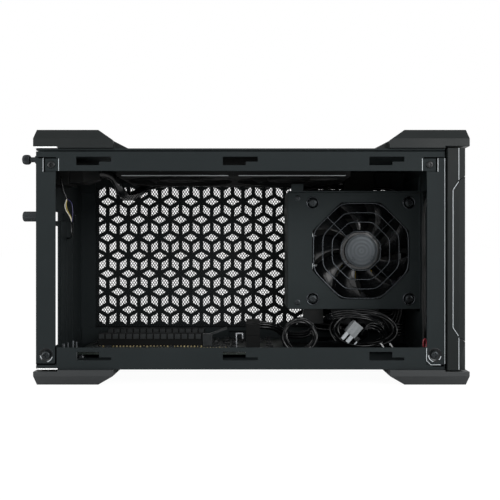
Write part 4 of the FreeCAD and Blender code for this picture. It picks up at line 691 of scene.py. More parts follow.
@dataclass
class EdgeLines:
    """Painted highlights on the near side where an edge catches the light, painted shade in the seams, and
    painted highlights under the rear handle's and foot's lips.

    Attributes:
        width: width of a strip in millimetres.
        rise: how far a strip stands off its face in millimetres.
        sink: how far every strip goes into its face in millimetres.
        arc_width: width of a painted highlight along a dish rim in millimetres.
        arc_rise: how far a painted highlight along a dish rim stands off its face in millimetres.
        seam_width: width of a painted seam shade in millimetres.
        seam_rise: how far a painted seam shade stands off its face in millimetres.
        insert_face: Y of the front insert's near face in millimetres.
        taper_face: Y of the front bezel's near face in millimetres.
        sheet: ends of each strip on the posts and rails, as X and Z of both ends.
        insert: ends of each strip round the front insert.
        taper: ends of each strip where the front bezel starts to taper.
        seams: ends of each painted seam shade round the corner plates.
        arcs: painted highlight on each screw dish's rim, as X, Z, radius and the first and last angle in
            degrees.
        fans: X of the middle of each top fan.
        rim: lowest and highest corner of a painted highlight on a fan frame's lower rim, from the fan's
            middle in X.
        lip_highlights: lowest and then highest corners of the painted highlights under the rear handle's and
            rear foot's lips.
    """

    width: float = 0.4
    rise: float = 0.08
    sink: float = 0.1
    arc_width: float = 0.52
    arc_rise: float = 0.16
    seam_width: float = 0.96
    seam_rise: float = 0.05
    insert_face: float = -74.75
    taper_face: float = -74.9
    sheet: tuple[Segment, ...] = (
        (-149.22, 160.4, -149.22, 170.6), (-137.6, 161.2, -137.6, 170.3), (135.3, 161.2, 135.3, 170.3),
        (146.95, 160.4, 146.95, 170.6), (152.05, 16.2, 152.05, 170.5), (138.4, 18.8, 138.4, 28.3),
        (138.4, 18.8, 141.6, 15.6), (141.6, 15.6, 149.0, 15.6))
    insert: tuple[Segment, ...] = (
        (157.5, 43.7, 157.5, 146.5), (157.5, 146.5, 161.6, 152.7), (157.5, 43.7, 161.6, 37.5))
    taper: tuple[Segment, ...] = ((161.8, 153.9, 161.8, 177.6), (161.8, 12.4, 161.8, 36.2))
    seams: tuple[Segment, ...] = (
        (-139.8, 16.4, -139.8, 29.2), (-154.2, 16.2, -140.4, 16.2), (143.0, 14.7, 151.4, 14.7),
        (152.75, 14.6, 152.75, 170.6), (-152.2, 170.9, -139.6, 170.9), (-148.5, 160.2, -148.5, 170.9),
        (146.2, 160.2, 146.2, 170.9), (136.2, 170.9, 146.2, 170.9))
    arcs: tuple[tuple[float, float, float, float, float], ...] = (
        (DISH_X[0], DISH_Z, 4.95, -77.0, -15.0), (DISH_X[0], DISH_Z, 4.1, 183.0, 221.0),
        (DISH_X[1], DISH_Z, 4.95, 180.0, 255.0), (DISH_X[1], DISH_Z, 4.4, -50.0, -9.0))
    fans: tuple[float, ...] = (-53.0, 39.0)
    rim: tuple[Vector3, Vector3] = ((-42.0, -46.2, 159.75), (42.0, -45.6, 160.45))
    lip_highlights: tuple[tuple[Vector3, Vector3], tuple[Vector3, Vector3]] = (
        ((-155.4, -74.2, 178.1), (-154.3, -73.4, 12.3)), ((-138.2, -60.0, 179.0), (-138.2, -72.02, 13.05)))

    def arc_ends(self) -> Array:
        """Short straight steps along every painted highlight on a dish rim.

        Returns:
            X and Z of both ends of each step.
        """
        steps = []
        for x, z, radius, first, last in self.arcs:
            turn = np.radians(np.linspace(first, last, 9))
            path = np.stack([x + radius * np.cos(turn), z + radius * np.sin(turn)], -1)
            steps.append(np.stack([path[:-1], path[1:]], 1))
        return np.concatenate(steps)

    def strips(self, ends: Array | Sequence[Segment], face: float, width: float, rise: float) -> Surface:
        """Straight strips from a little off a near face to a little inside it."""
        return Surface.bars(np.array(ends).reshape(-1, 2, 2), width, face - rise, face + self.sink)

    def build(self) -> None:
        """Make the painted edge highlights, the painted seam shade, and the painted highlights on the fan
        frames' lower rims and under the rear lips.
        """
        # painted highlights: pale strips along the lit edges of posts, rails, front trim and screw dishes
        lit = [self.strips(ends, face, self.width, self.rise) for ends, face in (
            (self.sheet, NEAR_SHEET), (self.insert, self.insert_face), (self.taper, self.taper_face))]
        lit.append(self.strips(self.arc_ends(), NEAR_SHEET, self.arc_width, self.arc_rise))
        make_piece("painted_edge_highlights", Surface.joined(lit), Finishes.HIGHLIGHT_AND_TERMINAL_GREY, "case")
        # painted shade: near-black strips in the seams round the corner plates
        seams = self.strips(self.seams, NEAR_SHEET, self.seam_width, self.seam_rise)
        make_piece("painted_seam_shades", seams, Finishes.SEAM_SHADE, "case")
        # painted highlights on the lower near rims of the top fans' frames
        rims = Surface.boxes(*self.rim).copies([(x, 0.0, 0.0) for x in self.fans])
        make_piece("fan_rim_painted_highlights", rims, Finishes.GREY_HOUSING_AND_RIM_HIGHLIGHT, "case")
        # painted highlights: white strips under the lips of the rear handle and rear foot
        make_piece("rear_lip_painted_highlights", Surface.boxes(*self.lip_highlights), Finishes.WHITE_NYLON_AND_HIGHLIGHT, "case")


# ---------------------------------------------------------------- filter mesh of the side panel

@dataclass
class FilterMesh:
    """Fine dust mesh behind the cut panel: two crossing sets of straight strands.

    Attributes:
        pitch: distance between strands of one set in millimetres.
        strand: width of a strand in millimetres.
        slope: angle of each set from level in degrees.
        rim: width of the edge strip in millimetres.
    """

    pitch: float = 2.05
    strand: float = 0.74
    slope: float = 56.0
    rim: float = 2.2

    def strands(self, low: Array, high: Array, slope: float, near: float, far: float) -> Surface:
        """One set of strands, each a box from edge to edge of the filter.

        Every strand keeps a fixed distance from its neighbour along the normal; its ends are where
        the line enters and leaves the rectangle in X and Z.

        Args:
            low: lowest corner of the filter.
            high: highest corner of the filter.
            slope: angle of the strands from level in degrees.
            near: Y of the strands' near faces.
            far: Y of the strands' far faces.

        Returns:
            The set as closed boxes, trimmed to the filter.
        """
        turn = math.radians(slope)
        along = np.array([math.cos(turn), math.sin(turn)])
        normal = np.array([-math.sin(turn), math.cos(turn)])
        first, last = low[[0, 2]], high[[0, 2]]
        corners = np.array([[x, z] for x in (first[0], last[0]) for z in (first[1], last[1])])
        reach = corners @ normal
        offset = np.arange(reach.min() + self.pitch / 2, reach.max(), self.pitch)
        foot = offset[:, None] * normal
        enter, leave = (first - foot) / along, (last - foot) / along
        start = np.minimum(enter, leave).max(1)
        end = np.maximum(enter, leave).min(1)
        keep = end - start > self.strand
        foot, start, end = foot[keep], start[keep], end[keep]
        ends = np.stack([foot + start[:, None] * along, foot + end[:, None] * along], 1)
        woven = Surface.bars(ends, self.strand, near, far)
        woven.points[:, [0, 2]] = np.clip(woven.points[:, [0, 2]], first, last)
        return woven

    def build(self) -> None:
        """Make the mesh and its rim in place of the plain filter sheet."""
        low, high = bounds_mm("side_filter")
        near, far = low[1], high[1]
        middle = 0.5 * (near + far)
        first = self.strands(low, high, self.slope, near, middle)
        second = self.strands(low, high, 180.0 - self.slope, middle, far)
        rim = self.rim
        edges = Surface.boxes(
            [[low[0], near, low[2]], [high[0] - rim, near, low[2]], [low[0], near, low[2]],
             [low[0], near, high[2] - rim]],
            [[low[0] + rim, far, high[2]], [high[0], far, high[2]], [high[0], far, low[2] + rim],
             [high[0], far, high[2]]])
        piece = make_piece("filter_strands", Surface.joined([first, second, edges]), Finishes.STRAND,
                           "side_panel")
        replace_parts(piece, "side_filter")


# ---------------------------------------------------------------- fans

@dataclass
class Rotor:
    """A turning fan wheel: a cupped hub and nine swept blades.

    Attributes:
        body: body the wheel rides.
        node: CAD node it stands for.
        axis: matrix from the wheel's own frame to the case.
        finish: finish of hub and blades.
        hub: hub radius in millimetres.
        tip: blade tip radius in millimetres.
        blades: number of blades.
        root: how far a blade goes into the hub in millimetres.
        pitch: blade pitch at the hub and how much it falls to the tip, in degrees.
        chord: blade width at the hub and how much it grows to the tip, in millimetres.
        crown: height of the arc across a blade in millimetres.
        sweep: how far a blade's tip runs ahead of its root, in radians.
        thick: half the blade's thickness in its middle in millimetres.
        margin: distance that blades keep from both faces of the wheel in millimetres.
    """

    body: str
    node: str
    axis: Array
    finish: Finish
    hub: float = 18.0
    tip: float = 42.6
    blades: int = 9
    root: float = 0.6
    pitch: tuple[float, float] = (46.0, 20.0)
    chord: tuple[float, float] = (15.0, 11.0)
    crown: float = 1.4
    sweep: float = 0.34
    thick: float = 0.75
    margin: float = 1.0

    def blade_set(self, depth: float) -> Surface:
        """All blades as thin curved vanes.

        Along the radius the blade sweeps forward and its pitch falls; across the chord it follows
        a shallow arc. Upper and lower skins stand half a thickness either side of that surface.

        Args:
            depth: depth of the wheel in millimetres.

        Returns:
            The blades as one surface, closed at root and tip.
        """
        run, chord = np.meshgrid(np.linspace(0.0, 1.0, 14), np.linspace(-1.0, 1.0, 11), indexing="ij")
        radius = self.hub - self.root + run * (self.tip - self.hub + self.root)
        pitch = np.radians(self.pitch[0] - self.pitch[1] * run)
        width = self.chord[0] + self.chord[1] * run
        reach = 0.5 * depth - self.margin
        rise = 0.5 * chord * width * np.sin(pitch) + self.crown * (1.0 - chord ** 2)
        rise = np.clip(rise, -reach, reach)
        turn = 0.5 * chord * width * np.cos(pitch) / radius + self.sweep * run ** 1.3
        thick = self.thick * np.sqrt(np.clip(1.0 - 0.9 * chord ** 2, 0.05, 1.0))
        skins = np.concatenate([np.stack([radius, turn, rise + thick], -1),
                                np.stack([radius, turn, rise - thick], -1)[:, ::-1]], 1)
        angle = skins[None, ..., 1] + around(self.blades)[:, None, None]
        points = np.stack([skins[None, ..., 0] * np.cos(angle), skins[None, ..., 0] * np.sin(angle),
                           np.broadcast_to(skins[None, ..., 2], angle.shape)], -1)
        single = [Surface.grid(one, wrap_v=True) for one in points]
        caps = [Surface(np.concatenate([one[row] for row in (0, -1)]), self.cap_quads(one.shape[1]))
                for one in points]
        return Surface.joined(single + caps)

    @staticmethod
    def cap_quads(count: int) -> Array:
        """Quads that close both ends of a blade.

        Args:
            count: number of points in the blade's section.

        Returns:
            Quads over the points of both end sections, the root's first.
        """
        half = count // 2
        step = np.arange(half - 1)
        end = np.stack([step, step + 1, count - 2 - step, count - 1 - step], -1)
        return np.concatenate([end, end + count])

    def build(self) -> None:
        """Make the wheel in place of its CAD node."""
        low, high = bounds_mm(self.node)
        centre, span = 0.5 * (low + high), np.abs((high - low) @ self.axis)
        depth = float(span[2])
        top, bottom = 0.5 * depth, -0.5 * depth
        profile = [(0.0, top - 0.5), (9.0, top - 0.5), (9.4, top - 0.9), (10.2, top - 0.9),
                   (10.6, top - 0.5), (self.hub - 2.0, top), (self.hub - 0.8, top - 0.3),
                   (self.hub, top - 1.4), (self.hub, bottom), (self.hub - 1.6, bottom),
                   (self.hub - 1.6, bottom + 2.0), (0.0, bottom + 2.0)]
        wheel = Surface.joined([Surface.turned(profile, 72), self.blade_set(depth)]).moved(self.axis, centre)
        piece = make_piece(self.node + "_wheel", wheel, self.finish, self.body, 35.0)
        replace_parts(piece, self.node)


# ---------------------------------------------------------------- fan guard and screws

@dataclass
class Guard:
    """Wire guard over the power supply's fan with its plain turned cap.

    Attributes:
        centre: middle of the guard in X and Z in millimetres.
        rings: half width of each ring in millimetres.
        wire: wire radius in millimetres.
        eye: distance of the eyelets from the middle in X and Z in millimetres.
        softness: power that rounds the corners, higher is sharper.
        spoke: distances from the middle at which a spoke starts and is fixed to the sheet in millimetres.
        cup: radius and height along the section of a screw's cup in millimetres.
    """

    centre: tuple[float, float] = (GUARD_MIDDLE, GUARD_MIDDLE)
    rings: tuple[float, ...] = (40.7, 32.7, 24.6, 16.6)
    wire: float = 0.5
    eye: float = GUARD_EYE
    softness: float = 22.0
    spoke: tuple[float, float] = (11.0, 41.5)
    cup: Profile = ((3.3, -0.3), (3.6, 0.0), (4.6, 0.9), (5.0, 1.0), (5.3, 0.85), (5.4, -0.4))

    def ring(self, half: float, depth: float) -> Surface:
        """One ring: a soft octagon, the inverse power sum of four axes carried round the middle.

        Args:
            half: half width of the ring in millimetres.
            depth: Y of the wire's middle.

        Returns:
            The ring's wire.
        """
        angle = around(160)
        axes = np.abs(np.cos(angle[:, None] - np.arange(4) * np.pi / 4.0))
        radius = half / (axes ** self.softness).sum(1) ** (1.0 / self.softness)
        path = np.stack([self.centre[0] + radius * np.cos(angle), np.full_like(angle, depth),
                         self.centre[1] + radius * np.sin(angle)], -1)
        tangent = np.roll(path, -1, 0) - np.roll(path, 1, 0)
        up = np.broadcast_to(np.array([0.0, 1.0, 0.0]), path.shape)
        across = np.cross(tangent, up)
        across /= np.linalg.norm(across, axis=1, keepdims=True)
        return Surface.ring_tube(path, across, up, self.wire)

    def spoke_wire(self, turn: float, depth: float) -> Surface:
        """One straight wire from under the cap to its fixing on the sheet.

        Args:
            turn: angle of the spoke in radians.
            depth: Y of the wire's middle.

        Returns:
            The spoke's wire.
        """
        out = np.array([math.cos(turn), 0.0, math.sin(turn)])
        middle = np.array([self.centre[0], depth, self.centre[1]])
        path = middle + np.linspace(*self.spoke, 5)[:, None] * out
        across = np.broadcast_to(np.array([-out[2], 0.0, out[0]]), path.shape)
        up = np.broadcast_to(np.array([0.0, 1.0, 0.0]), path.shape)
        return Surface.ring_tube(path, across, up, 0.6 * self.wire, closed=False)

    def build(self) -> None:
        """Make the guard, the cups round its screws and its cap in place of the CAD nodes."""
        low, high = bounds_mm("psu_grille")
        depth = 0.5 * (low[1] + high[1])
        parts = [self.ring(half, depth) for half in self.rings]
        parts += [self.spoke_wire(math.radians(45.0 + 90.0 * k), depth) for k in range(4)]
        cup = Surface.turned(self.cup)
        parts += [cup.moved(AXIS_NEAR, (self.centre[0] + side * self.eye, high[1],
                                        self.centre[1] + rise * self.eye))
                  for side, rise in ((1, 1), (-1, 1), (-1, -1), (1, -1))]
        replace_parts(make_piece("guard_wires", Surface.joined(parts), Finishes.NICKEL, "case"), "psu_grille")
        low, high = bounds_mm("grille_cap")
        deep = high[1] - low[1]
        profile = [(0.0, deep), (6.0, deep - 0.05), (11.0, deep - 0.2), (12.2, deep - 0.35),
                   (12.5, deep - 0.7), (12.9, deep - 0.75), (13.2, deep - 0.5), (13.7, deep - 0.55),
                   (14.0, deep - 0.95), (14.0, 0.0), (0.0, 0.0)]
        cap = Surface.turned(profile, 96).moved(AXIS_NEAR, (self.centre[0], high[1], self.centre[1]))
        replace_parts(make_piece("guard_cap", cap, Finishes.SPUN, "case", 30.0), "grille_cap")


@dataclass(frozen=True)
class Screw:
    """A pan head screw with a cross recess.

    Attributes:
        radius: head radius in millimetres.
        height: head height in millimetres.
        slot: half width of the cross in millimetres.
        reach: half length of the cross in millimetres.
        fall: how much the dome falls towards the rim, as a share of its squared height.
        flank: width over which the cross's sides slope in millimetres.
        end: length over which the cross's ends slope in millimetres.
    """

    radius: float = 3.0
    height: float = 1.7
    slot: float = 0.5
    reach: float = 1.7
    fall: float = 0.55
    flank: float = 0.12
    end: float = 0.2

    def surface(self) -> Surface:
        """The head as heights over a polar grid: a dome that falls at the rim, less the cross.

        The cross goes in where a point lies within the slot's half width of either centre line and
        inside its reach; its sides and ends slope.

        Returns:
            The head about Z, its seat at nought.
        """
        run = np.concatenate([np.linspace(0.0, 0.9, 22), [0.95, 0.985, 1.0, 1.0]])
        angle = around(72)
        radius = self.radius * run[:, None] * np.ones_like(angle)
        across, along = radius * np.cos(angle), radius * np.sin(angle)
        crown = self.height * np.sqrt(np.clip(1.0 - self.fall * run ** 4, 0.0, 1.0))
        dome = crown[:, None] * np.ones_like(angle)
        dome[-2] *= 0.78
        dome[-1] = 0.0
        narrow = np.minimum(np.abs(across), np.abs(along))
        wide = np.maximum(np.abs(across), np.abs(along))
        inside = (np.clip((self.slot - narrow) / self.flank, 0.0, 1.0)
                  * np.clip((self.reach - wide) / self.end, 0.0, 1.0))
        dome -= inside * np.minimum(1.0, 0.75 * self.height)
        return Surface.grid(np.stack([across, along, dome], -1), wrap_v=True)


@dataclass
class Fasteners:
    """Screw heads of the case and the power supply, and the knurled thumbscrews.

    Attributes:
        corner: screw in the dimples of the rails.
        tab: screw in the corner tabs.
        fan: screw in the guard's cups.
        cover: flat screw at a corner of the power supply's cover.
        corner_seat, tab_seat: distance of a head's seat from the middle of the case in millimetres.
        tab_x, tab_z: places of the corner tabs' screws in millimetres.
        fan_seat, cover_seat: Y of a head's seat in millimetres.
        cover_x, cover_z: places of the cover's screws in millimetres.
        dish: radius and height along the section of a screw dish in millimetres.
        ball: radius and height along a thumbscrew with a round knob in millimetres.
        lock: radius and height along the long thumbscrew in millimetres.
        knob_y, knob_z: distance of the round knobs from the middle, and the upper ones' Z, in millimetres.
    """

    corner: Screw = Screw(2.9, 1.6)
    tab: Screw = Screw(2.7, 1.4, 0.45, 1.5)
    fan: Screw = Screw(3.3, 1.5, 0.55, 1.9)
    cover: Screw = Screw(2.3, 0.7, 0.4, 1.3)
    corner_seat: float = 71.3
    tab_seat: float = 71.6
    tab_x: tuple[float, float] = (-143.05, 140.75)
    tab_z: float = 165.65
    fan_seat: float = 5.6
    cover_seat: float = 7.2
    cover_x: tuple[float, float] = (46.8, 155.2)
    cover_z: tuple[float, float] = (56.8, 146.2)
    dish: Profile = ((3.0, -0.68), (3.3, -0.66), (4.6, -0.2), (4.9, 0.04), (5.1, 0.1), (5.3, -0.02))
    ball: Profile = ((0.0, 0.0), (3.0, 0.0), (3.0, 3.0), (2.6, 3.3), (2.0, 3.5), (2.0, 6.6), (2.5, 6.8),
                     (3.3, 7.4), (3.7, 8.3), (3.8, 9.4), (3.8, 10.4), (3.6, 11.5), (3.1, 12.4),
                     (2.2, 12.9), (1.1, 13.1), (0.0, 13.1))
    lock: Profile = ((0.0, 0.0), (2.6, 0.0), (2.6, 1.4), (3.5, 1.5), (3.9, 1.9), (3.95, 2.4), (3.95, 12.6),
                     (3.7, 13.3), (3.1, 13.7), (2.2, 13.7), (2.0, 13.3), (0.0, 13.3))
    knob_y: float = 62.0
    knob_z: float = 170.6

    @staticmethod
    def knurled(profile: Profile, grip: tuple[float, float], ridges: int, depth: float) -> Surface:
        """A turned thumbscrew whose grip carries straight ridges, a cosine of the angle.

        Args:
            profile: pairs of radius and height from the foot to the crown.
            grip: lowest and highest height of the grip.
            ridges: number of ridges.
            depth: depth of a ridge as a share of the radius.

        Returns:
            The thumbscrew about Z.
        """
        def ripple(angle: Array, height: Array) -> Array:
            """Radius factor at an angle and a height."""
            held = np.clip((height - grip[0]) / 0.5, 0.0, 1.0) * np.clip((grip[1] - height) / 0.5, 0.0, 1.0)
            return 1.0 - depth * held * (0.5 - 0.5 * np.cos(ridges * angle))
        return Surface.turned(profile[::-1], ridges * 8, ripple)

    @staticmethod
    def heads(name: str, screw: Screw, spots: Sequence[tuple[Array, Vector3]], finish: Finish) -> None:
        """Make one piece of a screw's head at several spots, each a matrix and a place."""
        parts = [screw.surface().moved(axis, place) for axis, place in spots]
        make_piece(name, Surface.joined(parts), finish, "case", 50.0)

    def build(self) -> None:
        """Make every screw head and thumbscrew."""
        both = ((AXIS_NEAR, -1.0), (AXIS_FAR, 1.0))
        self.heads("corner_screws", self.corner,
                   [(axis, (x, self.corner_seat * side, DISH_Z)) for axis, side in both for x in DISH_X],
                   Finishes.ZINC)
        self.heads("tab_screws", self.tab,
                   [(axis, (x, self.tab_seat * side, self.tab_z)) for axis, side in both for x in self.tab_x],
                   Finishes.OXIDE)
        dish = Surface.turned(self.dish, 64)
        dishes = [dish.moved(AXIS_NEAR, (x, NEAR_SHEET, DISH_Z)) for x in DISH_X]
        make_piece("case_screw_dishes", Surface.joined(dishes), Finishes.OXIDE, "case", 50.0)
        eyes = (GUARD_MIDDLE - GUARD_EYE, GUARD_MIDDLE + GUARD_EYE)
        self.heads("guard_screws", self.fan,
                   [(AXIS_NEAR, (x, self.fan_seat, z)) for x in eyes for z in eyes], Finishes.ZINC)
        self.heads("supply_cover_screws", self.cover,
                   [(AXIS_NEAR, (x, self.cover_seat, z)) for x in self.cover_x for z in self.cover_z],
                   Finishes.ZINC)
        ball = self.knurled(self.ball, (7.0, 12.4), 28, 0.08)
        lock = self.knurled(self.lock, (1.8, 13.2), 30, 0.05)
        lock_end = bounds_mm("rear_thumbscrews")[0][0]
        pair = [ball.moved(AXIS_REAR, (-154.6, -self.knob_y, self.knob_z)),
                lock.moved(AXIS_REAR, (lock_end + 13.7, -52.0, 127.7))]
        piece = make_piece("knurled_rear_screws", Surface.joined(pair), Finishes.ZINC, "case", 32.0)
        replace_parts(piece, "rear_thumbscrews")
        far = [ball.moved(AXIS_REAR, (-155.7, self.knob_y, z)) for z in (self.knob_z, 27.95)]
        piece = make_piece("knurled_panel_screws", Surface.joined(far), Finishes.ZINC, "side_panel", 32.0)
        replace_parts(piece, "panel_thumbscrews")


# ---------------------------------------------------------------- board fittings

@dataclass
class BoardFittings:
    """Ribs, contacts and small components on the baseboard and its connectors.

    Attributes:
        ribs: number of ribs along a card slot.
        rib_rise: how far a rib stands out in millimetres.
        rib_gap: gap between two ribs in millimetres.
        foot_pitch: distance between two contact feet in millimetres.
        lattice: mean distance between small components in millimetres.
        jitter: how far a small component may stand off the lattice in millimetres.
        clearance: distance that small components keep from the connectors in millimetres.
        pin_pitch: distance between two pins of a header in millimetres.
        pin: half width of a pin in millimetres.
        floor: Z of the inner face of the case's floor in millimetres.
        seed: seed of the scattered small components.
    """

    ribs: int = 15
    rib_rise: float = 0.45
    rib_gap: float = 1.5
    foot_pitch: float = 2.9
    lattice: float = 7.5
    jitter: float = 1.6
    clearance: float = 4.5
    pin_pitch: float = 2.54
    pin: float = 0.3
    floor: float = 14.1
    seed: int = 7

    def slot_ribs(self, node: str) -> tuple[Surface, Surface]:
        """A row of blocks high on a card slot's near side, and the gold feet at its foot.

        Args:
            node: name of the card slot.

        Returns:
            The ribs and the feet.
        """
        low, high = bounds_mm(node)
        near, foot = low[1], low[2]
        pitch = (high[0] - low[0]) / self.ribs
        start = low[0] + pitch * np.arange(self.ribs) + 0.55
        ribs = Surface.row(start, start + pitch - self.rib_gap, (near - self.rib_rise, near + 0.3),
                           (foot + 6.8, high[2] - 0.2))
        feet = np.arange(low[0] + 1.0, high[0] - 1.0, self.foot_pitch)
        return ribs, Surface.row(feet, feet + 1.1, (near - 1.1, near + 0.2), (foot, foot + 1.0))

    def scattered(self) -> Surface:
        """Small chips and passives on a jittered lattice, kept off the slots and the power socket.

        Returns:
            The components as closed boxes on the board.
        """
        rng = np.random.default_rng(self.seed)
        low, high = bounds_mm("baseboard")
        x, y = np.meshgrid(np.arange(low[0] + 8.0, high[0] - 8.0, self.lattice),
                           np.arange(low[1] + 6.0, high[1] - 6.0, self.lattice), indexing="ij")
        centre = np.stack([x.ravel(), y.ravel()], -1) + rng.uniform(-self.jitter, self.jitter, (x.size, 2))
        size = rng.uniform([1.2, 0.8, 0.6], [5.2, 4.4, 2.6], (x.size, 3))
        clear = np.ones(x.size, bool)
        for node in (*CARD_SLOTS, "board_power_socket"):
            first, last = bounds_mm(node)
            inside = (centre > first[:2] - self.clearance) & (centre < last[:2] + self.clearance)
            clear &= ~inside.all(1)
        centre, size = centre[clear], size[clear]
        first = np.column_stack([centre - size[:, :2] / 2, np.full(len(centre), high[2])])
        last = np.column_stack([centre + size[:, :2] / 2, high[2] + size[:, 2]])
        return Surface.boxes(first, last)

    def header(self, centre: Vector3, count: int) -> tuple[Surface, Surface]:
        """A pin header with two rows of pins.

        Args:
            centre: middle of its foot in millimetres.
            count: number of pins in a row.

        Returns:
            Its plastic strip and its plated pins.
        """
        x, y, z = centre
        half, pin = 0.5 * self.pin_pitch, self.pin
        along = (np.arange(count) - 0.5 * (count - 1)) * self.pin_pitch + x
        strip = Surface.boxes([along[0] - half, y - 2.5, z], [along[-1] + half, y + 2.5, z + 2.5])
        pins = [Surface.row(along - pin, along + pin, (middle - pin, middle + pin), (z, z + 3.4))
                for middle in (y - half, y + half)]
        return strip, Surface.joined(pins)

    def build(self) -> None:
        """Make the ribs, contacts, headers, clips, floor liner and scattered components."""
        ribs, feet = zip(*(self.slot_ribs(node) for node in CARD_SLOTS))
        make_piece("card_slot_ribs", Surface.joined(ribs), Finishes.CHARCOAL, "case", bevel=0.12)
        make_piece("card_slot_contacts", Surface.joined(feet), Finishes.GOLD, "case")
        make_piece("board_chips", self.scattered(), Finishes.CONNECTOR, "case", bevel=0.1)
        top, floor = bounds_mm("baseboard")[1][2], self.floor
        strips, pins = zip(*(self.header((x, y, top), count) for x, y, count in
                             ((-24.0, -22.0, 9), (-66.0, -24.0, 7), (-108.0, -24.0, 5))))
        make_piece("board_headers", Surface.joined(strips), Finishes.CONNECTOR, "case", bevel=0.15)
        make_piece("board_pins", Surface.joined(pins), Finishes.GOLD, "case")
        clips = Surface.boxes([[-140.4, -50.0, floor], [-136.9, -48.0, floor], [-133.8, -46.0, floor],
                               [-130.6, -47.0, floor]],
                              [[-138.8, -48.2, 28.4], [-136.3, -47.4, 29.2], [-132.4, -45.4, 30.4],
                               [-129.6, -46.4, 29.8]])
        make_piece("board_edge_clips", clips, Finishes.PORT, "case", bevel=0.2)
        hook = Surface.boxes([[-6.0, -2.0, top], [-6.0, -2.0, 30.6], [-0.8, -2.0, 26.4]],
                             [[-4.9, 0.0, 31.6], [0.4, 0.0, 31.6], [0.4, 0.0, 31.0]])
        make_piece("slot_end_clip", hook, Finishes.PLATED, "case", bevel=0.2)
        lever = Surface.joined([Surface.boxes([-34.9, 8.4, top], [-26.5, 14.5, 29.6]),
                                Surface.bars(np.array([[[-29.0, 28.6], [-14.0, 34.2]]]), 2.0, 9.0, 14.0)])
        make_piece("slot_latch", lever, Finishes.CHARCOAL, "case", bevel=0.3)
        liner = Surface.boxes([42.0, 6.0, floor + 0.02], [150.0, 66.0, floor + 0.7])
        make_piece("floor_vent_liner", liner, Finishes.STRAND, "case", bevel=0.2)


# ---------------------------------------------------------------- leads and wires

# a direction that no lead runs along, from which the section of a lead is spanned
SECTION_GUIDE = np.array([0.12, 0.31, 0.94])


@dataclass(frozen=True)
class Lead:
    """A lead held at both ends, made of one or more wires side by side.

    Attributes:
        node: CAD node it stands for.
        route: points of the route in millimetres.
        radius: radius of one wire in millimetres.
        spots: offsets of the wires from the route across it, in Y and in Z, in millimetres.
    """

    node: str
    route: tuple[Vector3, ...]
    radius: float
    spots: tuple[tuple[float, float], ...] = ((0.0, 0.0),)

    def build(self) -> None:
        """Make the wires in place of the CAD tube."""
        route = np.array(self.route)
        tangent = np.gradient(route, axis=0)
        tangent /= np.linalg.norm(tangent, axis=1, keepdims=True)
        side = np.cross(tangent, SECTION_GUIDE)
        side /= np.linalg.norm(side, axis=1, keepdims=True)
        up = np.cross(side, tangent)
        wires = [route + across * side + rise * up for across, rise in self.spots]
        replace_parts(make_wire(self.node + "_wires", wires, self.radius, Finishes.JACKET), self.node)


